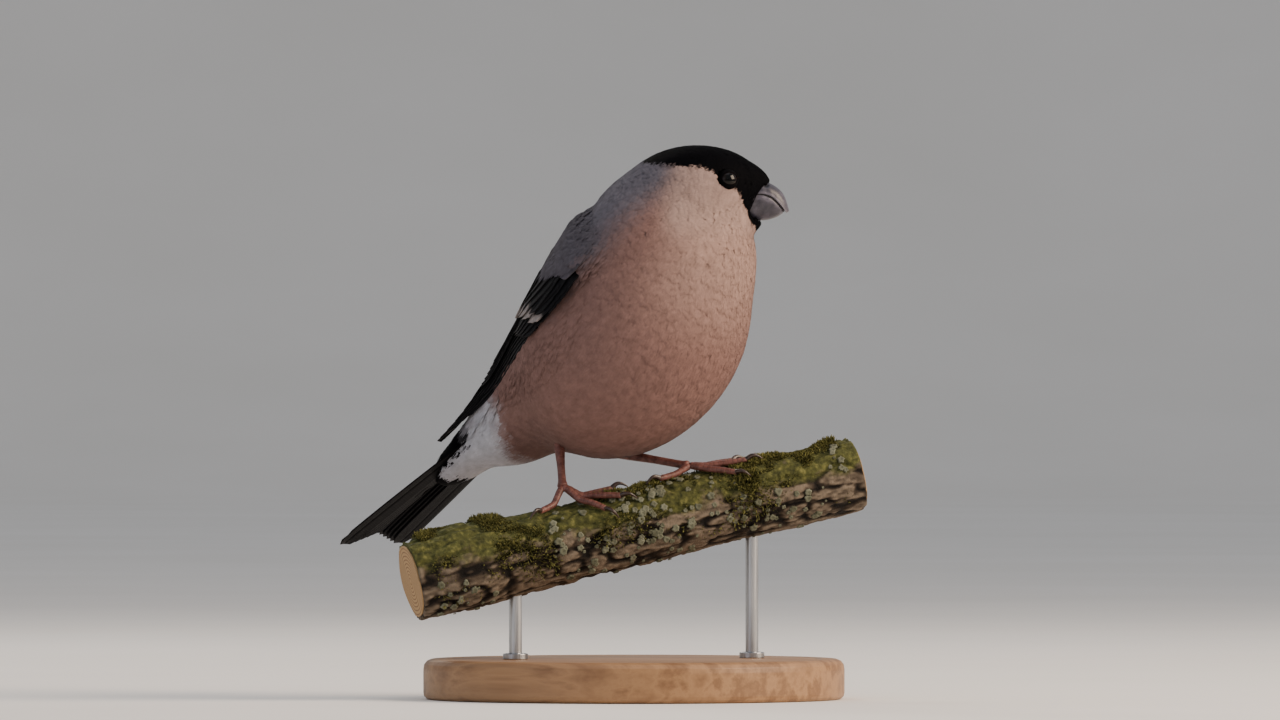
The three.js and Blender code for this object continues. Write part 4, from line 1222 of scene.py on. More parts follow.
@dataclass
class Wing:
    """A folded wing: rows of flight feathers and coverts that overlap like tiles."""

    plumage: Plumage
    side: int
    rows: tuple[VaneRow, ...] = (
        VaneRow(8, (0.34, 0.30), (0.06, 0.40), (0.92, 0.985, 1.0, 0.985, 0.95, 0.91, 0.865, 0.82),
                (0.12, 0.86), 2.4, 1.0, 0.1, 0.3),
        VaneRow(6, (0.28, 0.26), (0.44, 0.70), (0.75, 0.735, 0.72, 0.705, 0.69, 0.675), (0.40, 0.74),
                2.8, 1.9, 0.07, 0.3),
        VaneRow(3, (0.27, 0.25), (0.72, 0.87), (0.67, 0.61, 0.54), (0.78, 0.95), 3.2, 2.4, 0.12, 0.3),
        VaneRow(5, (0.12, 0.14), (0.06, 0.26), (0.4, 0.42, 0.44, 0.455, 0.46), (0.03, 0.24),
                2.4, 1.9, 0.08, 0.25),
        VaneRow(9, (0.04, 0.16), (0.06, 0.70), (0.34, 0.37, 0.4, 0.43, 0.455, 0.475, 0.49, 0.505, 0.515),
                (0.08, 0.96), 2.9, 2.5, 0.07, 0.34, Tint.FLIGHT, Tint.BAR, 0.7),
        VaneRow(8, (0.0, 0.1), (0.1, 0.78), (0.13, 0.16, 0.19, 0.215, 0.24, 0.265, 0.285, 0.305),
                (0.14, 1.0), 2.7, 2.75, 0.05, 0.2, Tint.COVERT, Tint.MANTLE, 0.6),
        VaneRow(3, (0.03, 0.05), (0.02, 0.22), (0.26, 0.3, 0.32), (0.02, 0.14), 2.2, 2.6, 0.1, 0.2),
    )

    def __post_init__(self) -> None:
        """Starts the wing's blades."""
        self.vanes = Vanes(SEED + self.side)

    def row(self, row: VaneRow) -> tuple[np.ndarray, ...]:
        """Blades of one row."""
        way, aside, column = self.vanes.grid(row.count)
        number = np.broadcast_to(np.arange(row.count)[:, None, None], way.shape)
        share = number / (row.count - 1)
        start = row.root_along[0] + (row.root_along[1] - row.root_along[0]) * share
        along = start + (np.array(row.tip_along)[number] - start) * way
        root_across = row.root_across[0] + (row.root_across[1] - row.root_across[0]) * share
        tip_across = row.tip_across[0] + (row.tip_across[1] - row.tip_across[0]) * share
        across = root_across + (tip_across - root_across) * way
        lifted = smooth(way, -0.1, 0.3)
        ridge = 0.1 * (column == self.vanes.COLUMNS[self.vanes.SHAFT])
        height = -0.5 + (row.lift + row.rise * number + 0.5 - row.tilt * column) * lifted + ridge
        y = aside * row.half_width
        flat = [values.ravel() for values in (along, across, height, y)]
        top = self.plumage.over_wing(self.side, *flat).reshape(*way.shape, 3)
        flat[2] = flat[2] - self.vanes.THICKNESS
        bottom = self.plumage.over_wing(self.side, *flat).reshape(*way.shape, 3)
        shafts = top[:, -1, self.vanes.SHAFT] - top[:, 0, self.vanes.SHAFT]
        x = way * np.linalg.norm(shafts, axis=1)[:, None, None]
        tint = self.vanes.tinted(way, column, row.tint, row.tip_tint, row.tip_from)
        return self.vanes.blades(top, bottom, x, y + 0.2 * row.half_width, tint)

    def build(self, finish: bpy.types.Material) -> None:
        """Lays every row and hands the wing over."""
        name = "wing_vanes_left" if self.side == LEFT else "wing_vanes_right"
        piece = self.vanes.join(name, [self.row(row) for row in self.rows])
        Model.keep(piece, finish, "black_plumage", "wing_left" if self.side == LEFT else "wing_right")


@dataclass
class Tail:
    """Twelve closed tail feathers, the middle pair on top. Sizes are in millimetres and degrees."""

    root: tuple[float, float, float] = (-39.8, 0, 69.7)
    fall: float = 34.0
    length: float = 54.0
    notch: float = 0.6
    per_side: int = 6
    widths: tuple[float, ...] = (0.5, 0.7, 0.86, 0.95, 1, 1.03, 1.05, 1.05, 1.02, 0.97)
    blunt: float = 0.08
    half_width: float = 3.9
    root_aside: tuple[float, float] = (0.9, 0.85)
    tip_aside: tuple[float, float] = (1.4, 1.85)
    stack: float = 0.27
    crossed: float = 0.13
    droop: float = 0.5
    thickness: float = 0.18

    def __post_init__(self) -> None:
        """Starts the tail's blades."""
        self.vanes = Vanes(SEED + 5)

    def feathers(self, side: int) -> tuple[np.ndarray, ...]:
        """Blades of one side."""
        way, aside, column = self.vanes.grid(self.per_side)
        number = np.arange(self.per_side)[:, None, None]
        run, up = heading(-self.fall, 180), heading(90 - self.fall, 180)
        length = self.length + self.notch * (number - self.per_side + 1)
        root = self.root_aside[0] + self.root_aside[1] * number
        tip = self.tip_aside[0] + self.tip_aside[1] * number
        rounded = np.sqrt(1 - 0.75 * np.clip((way - 1 + self.blunt) / self.blunt, 0, 1) ** 2)
        shape = aside / np.maximum(self.vanes.WIDTHS(way), 0.1) * profile(self.widths)(way)
        y = shape * rounded * self.half_width
        sink = self.stack * number + (side == RIGHT) * self.crossed + self.droop * way**2
        ridge = 0.12 * (column == self.vanes.COLUMNS[self.vanes.SHAFT]) - 0.14 * column**2
        across = side * (root + (tip - root) * way - y)
        high = (ridge - sink)[..., None] * up
        top = self.root + (way * length)[..., None] * run + across[..., None] * np.array([0, 1.0, 0]) + high
        tint = self.vanes.tinted(way, column, Tint.FLIGHT, Tint.FLIGHT, 0.95)
        bottom = top - up * self.thickness
        return self.vanes.blades(top, bottom, way * length, y + 0.2 * self.half_width, tint)

    def build(self, finish: bpy.types.Material) -> None:
        """Lays both sides and hands the tail over."""
        piece = self.vanes.join("tail_vanes", [self.feathers(LEFT), self.feathers(RIGHT)])
        Model.keep(piece, finish, "black_plumage", "tail")


@dataclass
class Bill:
    """The bill's two halves, drawn as ahead and above in the head's own frame. Sizes are in millimetres."""

    plumage: Plumage
    culmen: tuple[tuple[float, float], ...] = ((8, 4.4), (13, 4.2), (16.7, 2.9), (19.4, 0.5), (20.9, -3.7))
    mouth: tuple[tuple[float, float], ...] = ((8, -0.2), (13, 0.6), (16.2, 0), (18.5, -2), (20.2, -4.2))
    mouth_below: tuple[tuple[float, float], ...] = (
        (8, -0.5), (13, 0.3), (16, -0.4), (18, -2.1), (19.4, -3.7),
    )
    underside: tuple[tuple[float, float], ...] = (
        (8, -5.4), (12, -5.9), (15, -5.9), (17.6, -5.2), (19.3, -4.2),
    )
    half_width: float = 4.3
    tip_half_width: float = 0.5
    nostril: tuple[float, float] = (15.2, 2.6)
    gape_rise: float = 0.36
    rings: int = 72
    sides: int = 72

    def width(self, way: np.ndarray) -> np.ndarray:
        """Half the bill's width from its root to its tip."""
        share = np.sqrt(np.clip(1 - way**2.6, 0, 1))
        return self.tip_half_width + (self.half_width - self.tip_half_width) * share

    def inside(self, places: np.ndarray) -> np.ndarray:
        """Which places lie in the bill."""
        ahead, aside, above = self.plumage.in_head(places).T
        way = (ahead - 8) / 13
        top = np.interp(ahead, *np.array(self.culmen).T)
        low = np.interp(ahead, *np.array(self.underside).T)
        middle, half = (top + low) / 2, (top - low) / 2
        across, upright = aside / self.width(np.clip(way, 0, 1)), (above - middle) / half
        return (ahead > 8) & (across**2 + upright**2 < 1.04)

    def half(self, name: str, mouth: Sequence, outline: Sequence, nostrils: bool) -> bpy.types.Object:
        """One half: arches that stand from the mouth's line to an outline."""
        low, high = outline_of(mouth), outline_of(outline)

        def parts(way: np.ndarray, turn: np.ndarray) -> tuple[np.ndarray, ...]:
            """Ahead, aside, above, and how far up its arch each place stands."""
            ends = np.clip(np.minimum(way, 1 - way) * self.rings, 0, 1)
            stand = np.clip(np.sin(turn), 0, 1) ** 0.85 * ends
            flat = low(way) + (high(way) - low(way)) * stand[:, None]
            lip = 0.16 * np.exp(-((stand / 0.12) ** 2)) * nostrils
            ridges = 0.05 * np.sin(way * 40 + 3 * stand) * (1 - way)
            aside = (self.width(way) + lip + ridges) * np.cos(turn) * ends
            return flat[:, 0], aside, flat[:, 1], stand

        def pit(way: np.ndarray, turn: np.ndarray) -> np.ndarray:
            """How deep each place lies in a nostril, from 0 to 1."""
            ahead, _, above, _ = parts(way, turn)
            away = np.hypot((ahead - self.nostril[0]) / 1.5, above - self.nostril[1])
            return np.exp(-((away / 0.42) ** 4)) * nostrils

        def place(way: np.ndarray, turn: np.ndarray) -> np.ndarray:
            """Places on the surface."""
            ahead, aside, above, _ = parts(way, turn)
            aside = aside - np.sign(aside) * 0.55 * pit(way, turn)
            return self.plumage.from_head(np.stack([ahead, aside, above], 1))

        def edge(way: np.ndarray, turn: np.ndarray) -> np.ndarray:
            """How worn and pale each place is, and darker in a nostril pit as painted shade."""
            stand = parts(way, turn)[3]
            # Subtracting the pit darkens the nostrils: painted shade in the hollow.
            return 0.55 * smooth(0.3 - stand, 0, 0.3) + 0.2 * way - pit(way, turn)

        return Model.shaped(name, self.rings, self.sides, place, edge=edge)

    def gape(self) -> bpy.types.Object:
        """A near-black strip between the closed halves, just proud of their sides: painted shade along the
        mouth's crease.
        """
        high, low = outline_of(self.mouth), outline_of(self.mouth_below)

        def place(way: np.ndarray, turn: np.ndarray) -> np.ndarray:
            """Places on the surface."""
            ends = np.clip(np.minimum(way, 1 - way) * 30, 0, 1)
            at = way * 0.97
            middle = (high(at) + low(at)) / 2
            above = middle[:, 1] + self.gape_rise * np.sin(turn) * ends
            aside = (self.width(at) + 0.09) * np.sign(np.cos(turn)) * np.abs(np.cos(turn)) ** 0.3 * ends
            return self.plumage.from_head(np.stack([middle[:, 0], aside, above], 1))

        return Model.shaped("bill_gape_edge", 60, 40, place, edge=lambda way, turn: 0 * way)

    def build(self) -> None:
        """Makes both halves and the line of painted shade between them."""
        horn = BillHorn().build()
        upper = self.half("bill_upper_horn", self.mouth, self.culmen, True)
        lower = self.half("bill_lower_horn", self.mouth_below, self.underside, False)
        Model.keep(upper, horn, "bill_horn", "bill_upper")
        Model.keep(lower, horn, "bill_horn", "bill_lower")
        # The gape strip's near-black colour is painted shade in the crease between the halves.
        dark = BillHorn("bill_gape_painted_shade", "060507", "0b0a0d", "131115").build()
        Model.keep(self.gape(), dark, "bill_horn")


@dataclass
class Eye:
    """An eye and its lids. Its place is ahead and above in the head's own frame, in millimetres."""

    plumage: Plumage
    side: int
    place: tuple[float, float] = (6.0, 4.1)
    radius: float = 2.7
    showing: float = 1.1
    opening: tuple[float, float] = (1.98, 1.5)
    lid_reach: float = 2.6

    def __post_init__(self) -> None:
        """Finds where the eye sits on its side of the head."""
        ahead, above = self.place
        steps = np.linspace(0, 20, 800)
        rows = np.stack([np.full(800, ahead), self.side * steps, np.full(800, above)], 1)
        line = self.plumage.from_head(rows)
        surface = line[np.argmax(self.plumage.field(line) > 0)][None]
        self.axis = self.plumage.normal(surface)[0]
        self.centre = surface[0] + self.axis * (self.showing - self.radius)

    def build(self) -> None:
        """Makes the eyeball and its lids."""
        word = "left" if self.side == LEFT else "right"
        across = unit(np.cross(self.axis, [0, 0, 1.0]))
        upward = np.cross(across, self.axis)

        def ball(way: np.ndarray, turn: np.ndarray) -> np.ndarray:
            """Places on the eyeball, from its front to its back."""
            out = np.sin(np.pi * way)[:, None]
            ring = np.cos(turn)[:, None] * across + np.sin(turn)[:, None] * upward
            return self.centre + self.radius * (np.cos(np.pi * way)[:, None] * self.axis + out * ring)

        eye = Model.shaped(f"eyeball_{word}", 48, 64, ball)
        Model.keep(eye, EyeLens(f"eye_wet_cornea_{word}").build(self.centre, self.axis, self.radius),
                   "eye_gloss", f"eye_{word}")
        dark_skin = ScaledSkin("eyelid_dark_skin", "0a090b", "050405", 0.02).build()
        Model.keep(self.lid(word, across, upward), dark_skin, "black_plumage")

    def lid(self, word: str, across: np.ndarray, upward: np.ndarray) -> bpy.types.Object:
        """Both lids: a ring laid over the eyeball, with an oval opening."""
        bpy.ops.mesh.primitive_torus_add(major_radius=1, minor_radius=0.25, major_segments=84,
                                         minor_segments=18)
        lid = bpy.context.object
        lid.name = lid.data.name = f"eyelid_{word}"
        ring = Model.corners(lid) * MM
        turn = np.arctan2(ring[:, 1], ring[:, 0])
        share = (np.hypot(ring[:, 0], ring[:, 1]) - 0.75) / 0.5
        wide, high = self.opening
        edge = wide * high / np.hypot(high * np.cos(turn), wide * np.sin(turn))
        out = edge + (self.lid_reach - edge) * share
        level = self.radius + 0.06 + 0.14 * ring[:, 2] / 0.25
        rise = np.sqrt(level**2 - out**2)
        flat = np.cos(turn)[:, None] * across + np.sin(turn)[:, None] * upward
        Model.move(lid, self.centre + rise[:, None] * self.axis + out[:, None] * flat)
        Model.face_out(lid)
        lid.data.shade_smooth()
        Model.value(lid, "seam", np.zeros(len(ring)))
        return lid


@dataclass(frozen=True)
class Leg:
    """One leg: where it stands on the perch, its joint's height, and its toes' turns and lengths."""

    name: str
    along: float
    joint_over: float
    leaves: tuple[float, float, float]
    toes: tuple[tuple[float, float], ...]
    toe_radius: float = 0.85
    claw: float = 4.2
    toe_scute: float = 1.15
    shank_scute: float = 2.1
    rest: float = 1.0

    def toe_path(self, perch: "Perch", turn: float, length: float, start: float, stop: float) -> np.ndarray:
        """The middle of a toe or of its claw, laid over the bark."""
        reach = np.linspace(start, stop, 60)
        whole = length + self.claw
        arch = 1.1 * np.sin(np.pi * np.clip((reach - length) / self.claw, 0, 1))
        settled = smooth(reach, 0, 5)
        height = self.joint_over + (self.rest - self.joint_over) * settled + arch
        height = height - 0.5 * smooth(reach, length, whole)
        angle = math.radians(turn)
        return perch.over(self.along + reach * math.cos(angle), reach * math.sin(angle) / 10.6, height)

    def toe(self, perch: "Perch", number: int) -> tuple[bpy.types.Object, bpy.types.Object]:
        """A toe with scutes above and pads below, and its claw."""
        turn, length = self.toes[number]
        path = self.toe_path(perch, turn, length, 0, length + 0.4)
        upward = path - perch.axis_near(path)

        def scute(way: np.ndarray) -> np.ndarray:
            """The scutes along it, from 0 at a seam to 1."""
            return np.abs(np.sin(np.pi * way * length / self.toe_scute)) ** 0.4

        def radius(way: np.ndarray, around: np.ndarray) -> np.ndarray:
            """Its radius, with scutes above."""
            top = np.clip(np.cos(around), 0, 1)
            pads = np.clip(-np.cos(around), 0, 1) * np.clip(np.sin(way * np.pi * 3.5), 0, 1) ** 2
            return self.toe_radius * (1.02 - 0.2 * way + 0.09 * (scute(way) - 1) * top + 0.12 * pads)

        def seam(way: np.ndarray, around: np.ndarray) -> np.ndarray:
            """How dark the seams between scutes are."""
            return smooth(0.62 - scute(way), 0, 0.25) * smooth(np.cos(around), -0.3, 0.3) * 0.8

        tube = Tube(path, upward, radius)
        body = Model.shaped(f"toe_{self.name}_{number}", 110, 24, tube.place, seam=seam)
        claw_path = self.toe_path(perch, turn, length, length - 0.5, length + self.claw)

        def thin(way: np.ndarray, around: np.ndarray) -> np.ndarray:
            """The claw's radius, thin at the point."""
            return (0.62 - 0.5 * way**1.3) * (1 + 0.12 * np.abs(np.cos(around)))

        horn = Tube(claw_path, claw_path - perch.axis_near(claw_path), thin, 0.02)
        claw = Model.shaped(f"claw_{self.name}_{number}", 40, 18, horn.place)
        return body, claw

    def shank(self, perch: "Perch") -> bpy.types.Object:
        """The bare shank from the belly to the joint, with broad scutes in front."""
        joint = perch.over(np.array([self.along]), np.zeros(1), np.array([self.joint_over]))[0]
        away = unit(np.array(self.leaves) - joint)
        path = joint + away * np.linspace(0, np.linalg.norm(np.array(self.leaves) - joint) + 4, 40)[:, None]
        length = np.linalg.norm(path[-1] - path[0])
        front = np.tile(heading(0, 20), (len(path), 1))

        def scute(way: np.ndarray) -> np.ndarray:
            """The scutes along it, from 0 at a seam to 1."""
            return np.abs(np.sin(np.pi * way * length / self.shank_scute)) ** 0.35

        def radius(way: np.ndarray, around: np.ndarray) -> np.ndarray:
            """Its radius, with scutes above."""
            knuckle = 0.42 * np.exp(-((way * length / 1.5) ** 2))
            return (0.98 + knuckle + 0.3 * smooth(way, 0.4, 0.9)
                    + 0.06 * (scute(way) - 1) * np.clip(np.cos(around), 0, 1))

        def seam(way: np.ndarray, around: np.ndarray) -> np.ndarray:
            """How dark the seams between scutes are."""
            return smooth(0.55 - scute(way), 0, 0.25) * smooth(np.cos(around), -0.2, 0.3) * 0.8

        return Model.shaped(f"shank_{self.name}", 120, 28, Tube(path, front, radius).place, seam=seam)

    def build(self, perch: "Perch", skin: bpy.types.Material, horn: bpy.types.Material) -> None:
        """Makes the shank, the toes and the claws."""
        Model.keep(self.shank(perch), skin, "shank_skin", f"leg_{self.name}")
        for number in range(len(self.toes)):
            body, claw = self.toe(perch, number)
            Model.keep(body, skin, "shank_skin", *([f"foot_{self.name}"] if number == 0 else []))
            Model.keep(claw, horn, "shank_skin")


@dataclass
class Perch:
    """The cut branch with cracked bark, moss along its upper side and lichen. Sizes are in millimetres."""

    legs: Sequence[Leg]
    length: float = 116.0
    radius: float = 9.6
    centre: tuple[float, float, float] = (0, 0, 42.4)
    pitch: float = 13
    yaw: float = 53
    cap: float = 0.06
    noise: Noise = field(default_factory=lambda: Noise(SEED + 2))
    random: np.random.Generator = field(default_factory=lambda: np.random.default_rng(SEED + 3))

    def __post_init__(self) -> None:
        """Finds the branch's own directions."""
        self.middle = np.array(self.centre)
        self.run, self.up = heading(self.pitch, self.yaw), heading(self.pitch + 90, self.yaw)
        self.side = np.cross(self.run, self.up)

    def bark_radius(self, along: np.ndarray, round_: np.ndarray) -> np.ndarray:
        """The branch's own radius, with its knot and slow waves."""
        knot = 1.6 * np.exp(-(((along + 44) / 9) ** 2)) * (0.6 + 0.4 * np.cos(round_ - 1))
        waves = 0.16 * np.sin(3 * round_ + along / 9) + 0.14 * np.sin(5 * round_ - along / 6)
        return self.radius + knot + waves - 0.006 * along

    def over(self, along: np.ndarray, round_: np.ndarray, height: np.ndarray | float) -> np.ndarray:
        """Places over the bark, from millimetres along, radians round from the top, and height."""
        along, round_, height = np.broadcast_arrays(along, round_, height)
        out = np.cos(round_)[..., None] * self.up + np.sin(round_)[..., None] * self.side
        reach = (self.bark_radius(along, round_) + height)[..., None]
        return self.middle + along[..., None] * self.run + out * reach

    def axis_near(self, places: np.ndarray) -> np.ndarray:
        """Points of the branch's middle line beside places."""
        along = (places - self.middle) @ self.run
        return self.middle + along[:, None] * self.run

    def relief(self, along: np.ndarray, round_: np.ndarray) -> np.ndarray:
        """Cracks and plates of the bark, from 0 in a crack to 1 on a plate."""
        rolled = np.stack([along * 0.4, 9 * np.cos(round_), 9 * np.sin(round_)], 1)
        crack = np.abs(self.noise.at(rolled, 2.6) - 0.5)
        crack = crack + 0.5 * np.abs(self.noise.at(rolled + 40, 1.2) - 0.5)
        return smooth(crack, 0.02, 0.3) * (0.75 + 0.5 * (self.noise.at(rolled * 2, 1.1) - 0.5))

    def shares(self, way: np.ndarray) -> tuple[np.ndarray, np.ndarray]:
        """Millimetres along the branch, and how far out on a sawn end."""
        inner = np.clip((way - self.cap) / (1 - 2 * self.cap), 0, 1)
        return self.length * (inner - 0.5), np.clip(np.minimum(way, 1 - way) / self.cap, 0, 1)

    def bark(self) -> bpy.types.Object:
        """The branch itself."""

        def place(way: np.ndarray, turn: np.ndarray) -> np.ndarray:
            """Places on the surface."""
            along, out = self.shares(way)
            rough = (0.9 * self.relief(along, turn) - 0.75) * out
            full = self.over(along, turn, rough)
            middle = self.middle + along[:, None] * self.run
            return middle + (full - middle) * out[:, None]

        def ridge(way: np.ndarray, turn: np.ndarray) -> np.ndarray:
            """How high each place stands out of the cracks."""
            return self.relief(self.shares(way)[0], turn)

        def upper(way: np.ndarray, turn: np.ndarray) -> np.ndarray:
            """How far each place is on the upper side."""
            return smooth(np.cos(turn), -0.35, 0.75)

        return Model.shaped("perch_bark", 420, 220, place, ridge=ridge, upper=upper)

    def sawn_end(self, end: int) -> bpy.types.Object:
        """A sawn face with rings, set just proud of the bark's end."""

        def out(way: np.ndarray) -> np.ndarray:
            """How far out from the pith each place is, from 0 to 1."""
            return np.clip(np.minimum(way, 1 - way) / 0.45, 0, 1)

        def place(way: np.ndarray, turn: np.ndarray) -> np.ndarray:
            """Places on the surface."""
            along = end * (self.length / 2 + 0.05 + 0.3 * (way > 0.5))
            full = self.over(np.full(len(way), along), turn, -1.1)
            middle = self.middle + along[:, None] * self.run
            return middle + (full - middle) * out(way)[:, None]

        def ring(way: np.ndarray, turn: np.ndarray) -> np.ndarray:
            """Millimetres from the pith."""
            return out(way) * 8.5

        return Model.shaped("sawn_end_high" if end > 0 else "sawn_end_low", 40, 96, place, ring=ring)

    def spots(self, count: int, reach: float) -> tuple[np.ndarray, np.ndarray]:
        """Random places along and round the branch's upper side, clear of the feet."""
        along = self.random.uniform(-0.47, 0.47, count) * self.length
        round_ = self.random.normal(0, reach, count)
        clear = np.ones(count, bool)
        for leg in self.legs:
            near = np.abs(along - leg.along) < 9
            clear &= ~(near & (np.abs(round_ - 0.35) < 1.0) & (self.random.random(count) < 0.85))
        return along[clear], round_[clear]

    def moss(self) -> bpy.types.Object:
        """Cushions of short bent fronds in patches along the top."""
        along, round_ = self.spots(60_000, 0.85)
        rolled = np.stack([along, 9 * np.cos(round_), 9 * np.sin(round_)], 1)
        patch = self.noise.at(rolled, 9) + 0.35 * self.noise.at(rolled, 3)
        keep = (patch + 0.25 * self.random.random(len(patch)) > 0.9) & (np.abs(round_) < 2.3)
        along, round_, patch = along[keep], round_[keep], patch[keep]
        foot = self.over(along, round_, -0.4)
        out = unit(foot - self.axis_near(foot))
        lean = self.random.normal(0, 0.55, foot.shape)
        size = self.random.uniform(0.7, 1.9, len(foot)) * smooth(patch, 0.7, 1.1)
        tip = foot + unit(out + lean) * (size + 0.5)[:, None]
        side = unit(np.cross(out, self.random.normal(0, 1, foot.shape)))
        side = side * self.random.uniform(0.12, 0.2, (len(foot), 1))
        middle = foot + (tip - foot) * 0.55 + out * 0.15
        corners = np.stack([foot - side, foot + side, middle - side * 1.2, middle + side * 1.2, tip], 1)
        first = np.arange(len(foot))[:, None, None] * 5
        faces = (first + np.array([[0, 1, 3], [0, 3, 2], [2, 3, 4]])).reshape(-1, 3)
        piece = Model.mesh("moss_fronds", corners.reshape(-1, 3), faces)
        Model.value(piece, "tip", np.tile([0, 0, 0.55, 0.55, 1.0], len(foot)))
        return piece

    def lichen(self) -> bpy.types.Object:
        """Flat lobed rosettes with a raised rim, grown together in groups."""
        along, round_ = self.spots(1500, 1.3)
        rolled = np.stack([along, 9 * np.cos(round_), 9 * np.sin(round_)], 1)
        keep = self.noise.at(rolled + 90, 12) > 0.55
        along, round_ = along[keep], round_[keep]
        size = self.random.uniform(0.3, 1.05, len(along))[:, None, None]
        turn = np.linspace(0, 2 * np.pi, 24, endpoint=False)[None, None]
        ring = np.array([0.05, 0.45, 0.8, 1.0])[None, :, None]
        rise = np.array([0.2, 0.26, 0.34, 0.02])[None, :, None]
        lobes = 1 + 0.14 * np.sin(turn * self.random.integers(3, 7, size.shape) + size * 9) * ring
        lobes = lobes + self.random.normal(0, 0.09, (len(along), 1, 24)) * ring
        reach = size * ring * lobes
        at = along[:, None, None] + reach * np.cos(turn)
        about = round_[:, None, None] + reach * np.sin(turn) / self.radius
        corners = self.over(at, about, rise * (0.6 + 0.5 * size) + 0 * turn)
        one = grid_faces(4, 24, True)
        faces = (one[None] + np.arange(len(along))[:, None, None] * 96).reshape(-1, 4)
        piece = Model.mesh("lichen_rosettes", corners.reshape(-1, 3), faces)
        Model.value(piece, "tip", np.tile(np.repeat([0.55, 0.7, 1.0, 0.5], 24), len(along)))
        return piece

    def build(self) -> None:
        """Makes the branch and its growth."""
        Model.keep(self.bark(), DampBark().build(), "bark", "perch_branch")
        ends = EndGrain().build()
        Model.keep(self.sawn_end(1), ends, "bark")
        Model.keep(self.sawn_end(-1), ends, "bark")
        Model.keep(self.moss(), GrowthSkin("moss_dry_fronds", "2b2d14", "8d8a4e").build(), "bark")
        Model.keep(self.lichen(), GrowthSkin("lichen_grey_crust", "4a4d40", "808370").build(), "bark")


@dataclass
class Stand:
    """The plain display stand: a turned base and two steel rods with collars. Sizes are in millimetres."""

    perch: Perch
    outline: tuple[tuple[float, float], ...] = (
        (0, 0.4), (49.5, 0.4), (50.3, 0), (51.2, 0.2), (51.8, 0.8), (52, 1.6), (52, 7.4), (51.8, 8.6),
        (51.1, 9.5), (50, 9.95), (46.5, 10), (46.2, 9.75), (45.6, 9.7), (45.2, 9.95), (0, 10),
    )
    rod_radius: float = 1.6
    collar_radius: float = 3.1
    rods_from_middle: float = 31.0

    def base(self) -> bpy.types.Object:
        """The turned base with a bead near its edge."""
        marks = np.array(self.outline)
        lengths = np.concatenate([[0], np.cumsum(np.linalg.norm(np.diff(marks, axis=0), axis=1))])
        fine = np.linspace(0, 1, 160)
        shares = [0, lengths[1] / lengths[-1], lengths[-2] / lengths[-1], 1]
        turned = np.interp(fine, [0, 0.15, 0.85, 1], shares)

        def place(way: np.ndarray, turn: np.ndarray) -> np.ndarray:
            """Places on the turned outline."""
            at = np.interp(way, fine, turned) * lengths[-1]
            out, up = np.interp(at, lengths, marks[:, 0]), np.interp(at, lengths, marks[:, 1])
            return np.stack([out * np.cos(turn), out * np.sin(turn), up], 1)

        return Model.shaped("base_turned", 160, 192, place)

    def rod(self, end: int, top: float) -> bpy.types.Object:
        """An upright rod from the base into the branch."""
        foot = self.perch.middle + self.perch.run * end * self.rods_from_middle
        path = np.stack([[foot[0], foot[1], z] for z in np.linspace(4, top, 12)])
        sideways = np.tile([1.0, 0, 0], (12, 1))
        tube = Tube(path, sideways, lambda way, turn: np.full(len(way), self.rod_radius), 0.004)
        return Model.shaped("rod_high" if end > 0 else "rod_low", 24, 48, tube.place)

    def collar(self, end: int) -> bpy.types.Object:
        """A small ring where a rod enters the base."""
        foot = self.perch.middle + self.perch.run * end * self.rods_from_middle
        path = np.stack([[foot[0], foot[1], z] for z in np.linspace(9.8, 11.6, 8)])
        facing = np.tile([1.0, 0, 0], (8, 1))
        tube = Tube(path, facing, lambda way, turn: np.full(len(way), self.collar_radius), 0.16)
        return Model.shaped("collar_high" if end > 0 else "collar_low", 24, 48, tube.place)

    def build(self) -> None:
        """Makes the base, rods and collars."""
        wood = SawnWood("oiled_wood_turned").build()
        steel = BrushedSteel().build()
        Model.keep(self.base(), wood, "oiled_wood", "stand_base")
        for end, top, node in ((1, 45.0, "stand_rod_high"), (-1, 31.0, "stand_rod_low")):
            Model.keep(self.rod(end, top), steel, "rod_steel", node)
            Model.keep(self.collar(end), steel, "rod_steel")


@dataclass(frozen=True)
class Lamp:
    """A soft lamp aimed at the bird, placed in metres towards, across and above the camera's view."""

    name: str
    towards: float
    across: float
    up: float
    size: float
    power: float
    colour: str


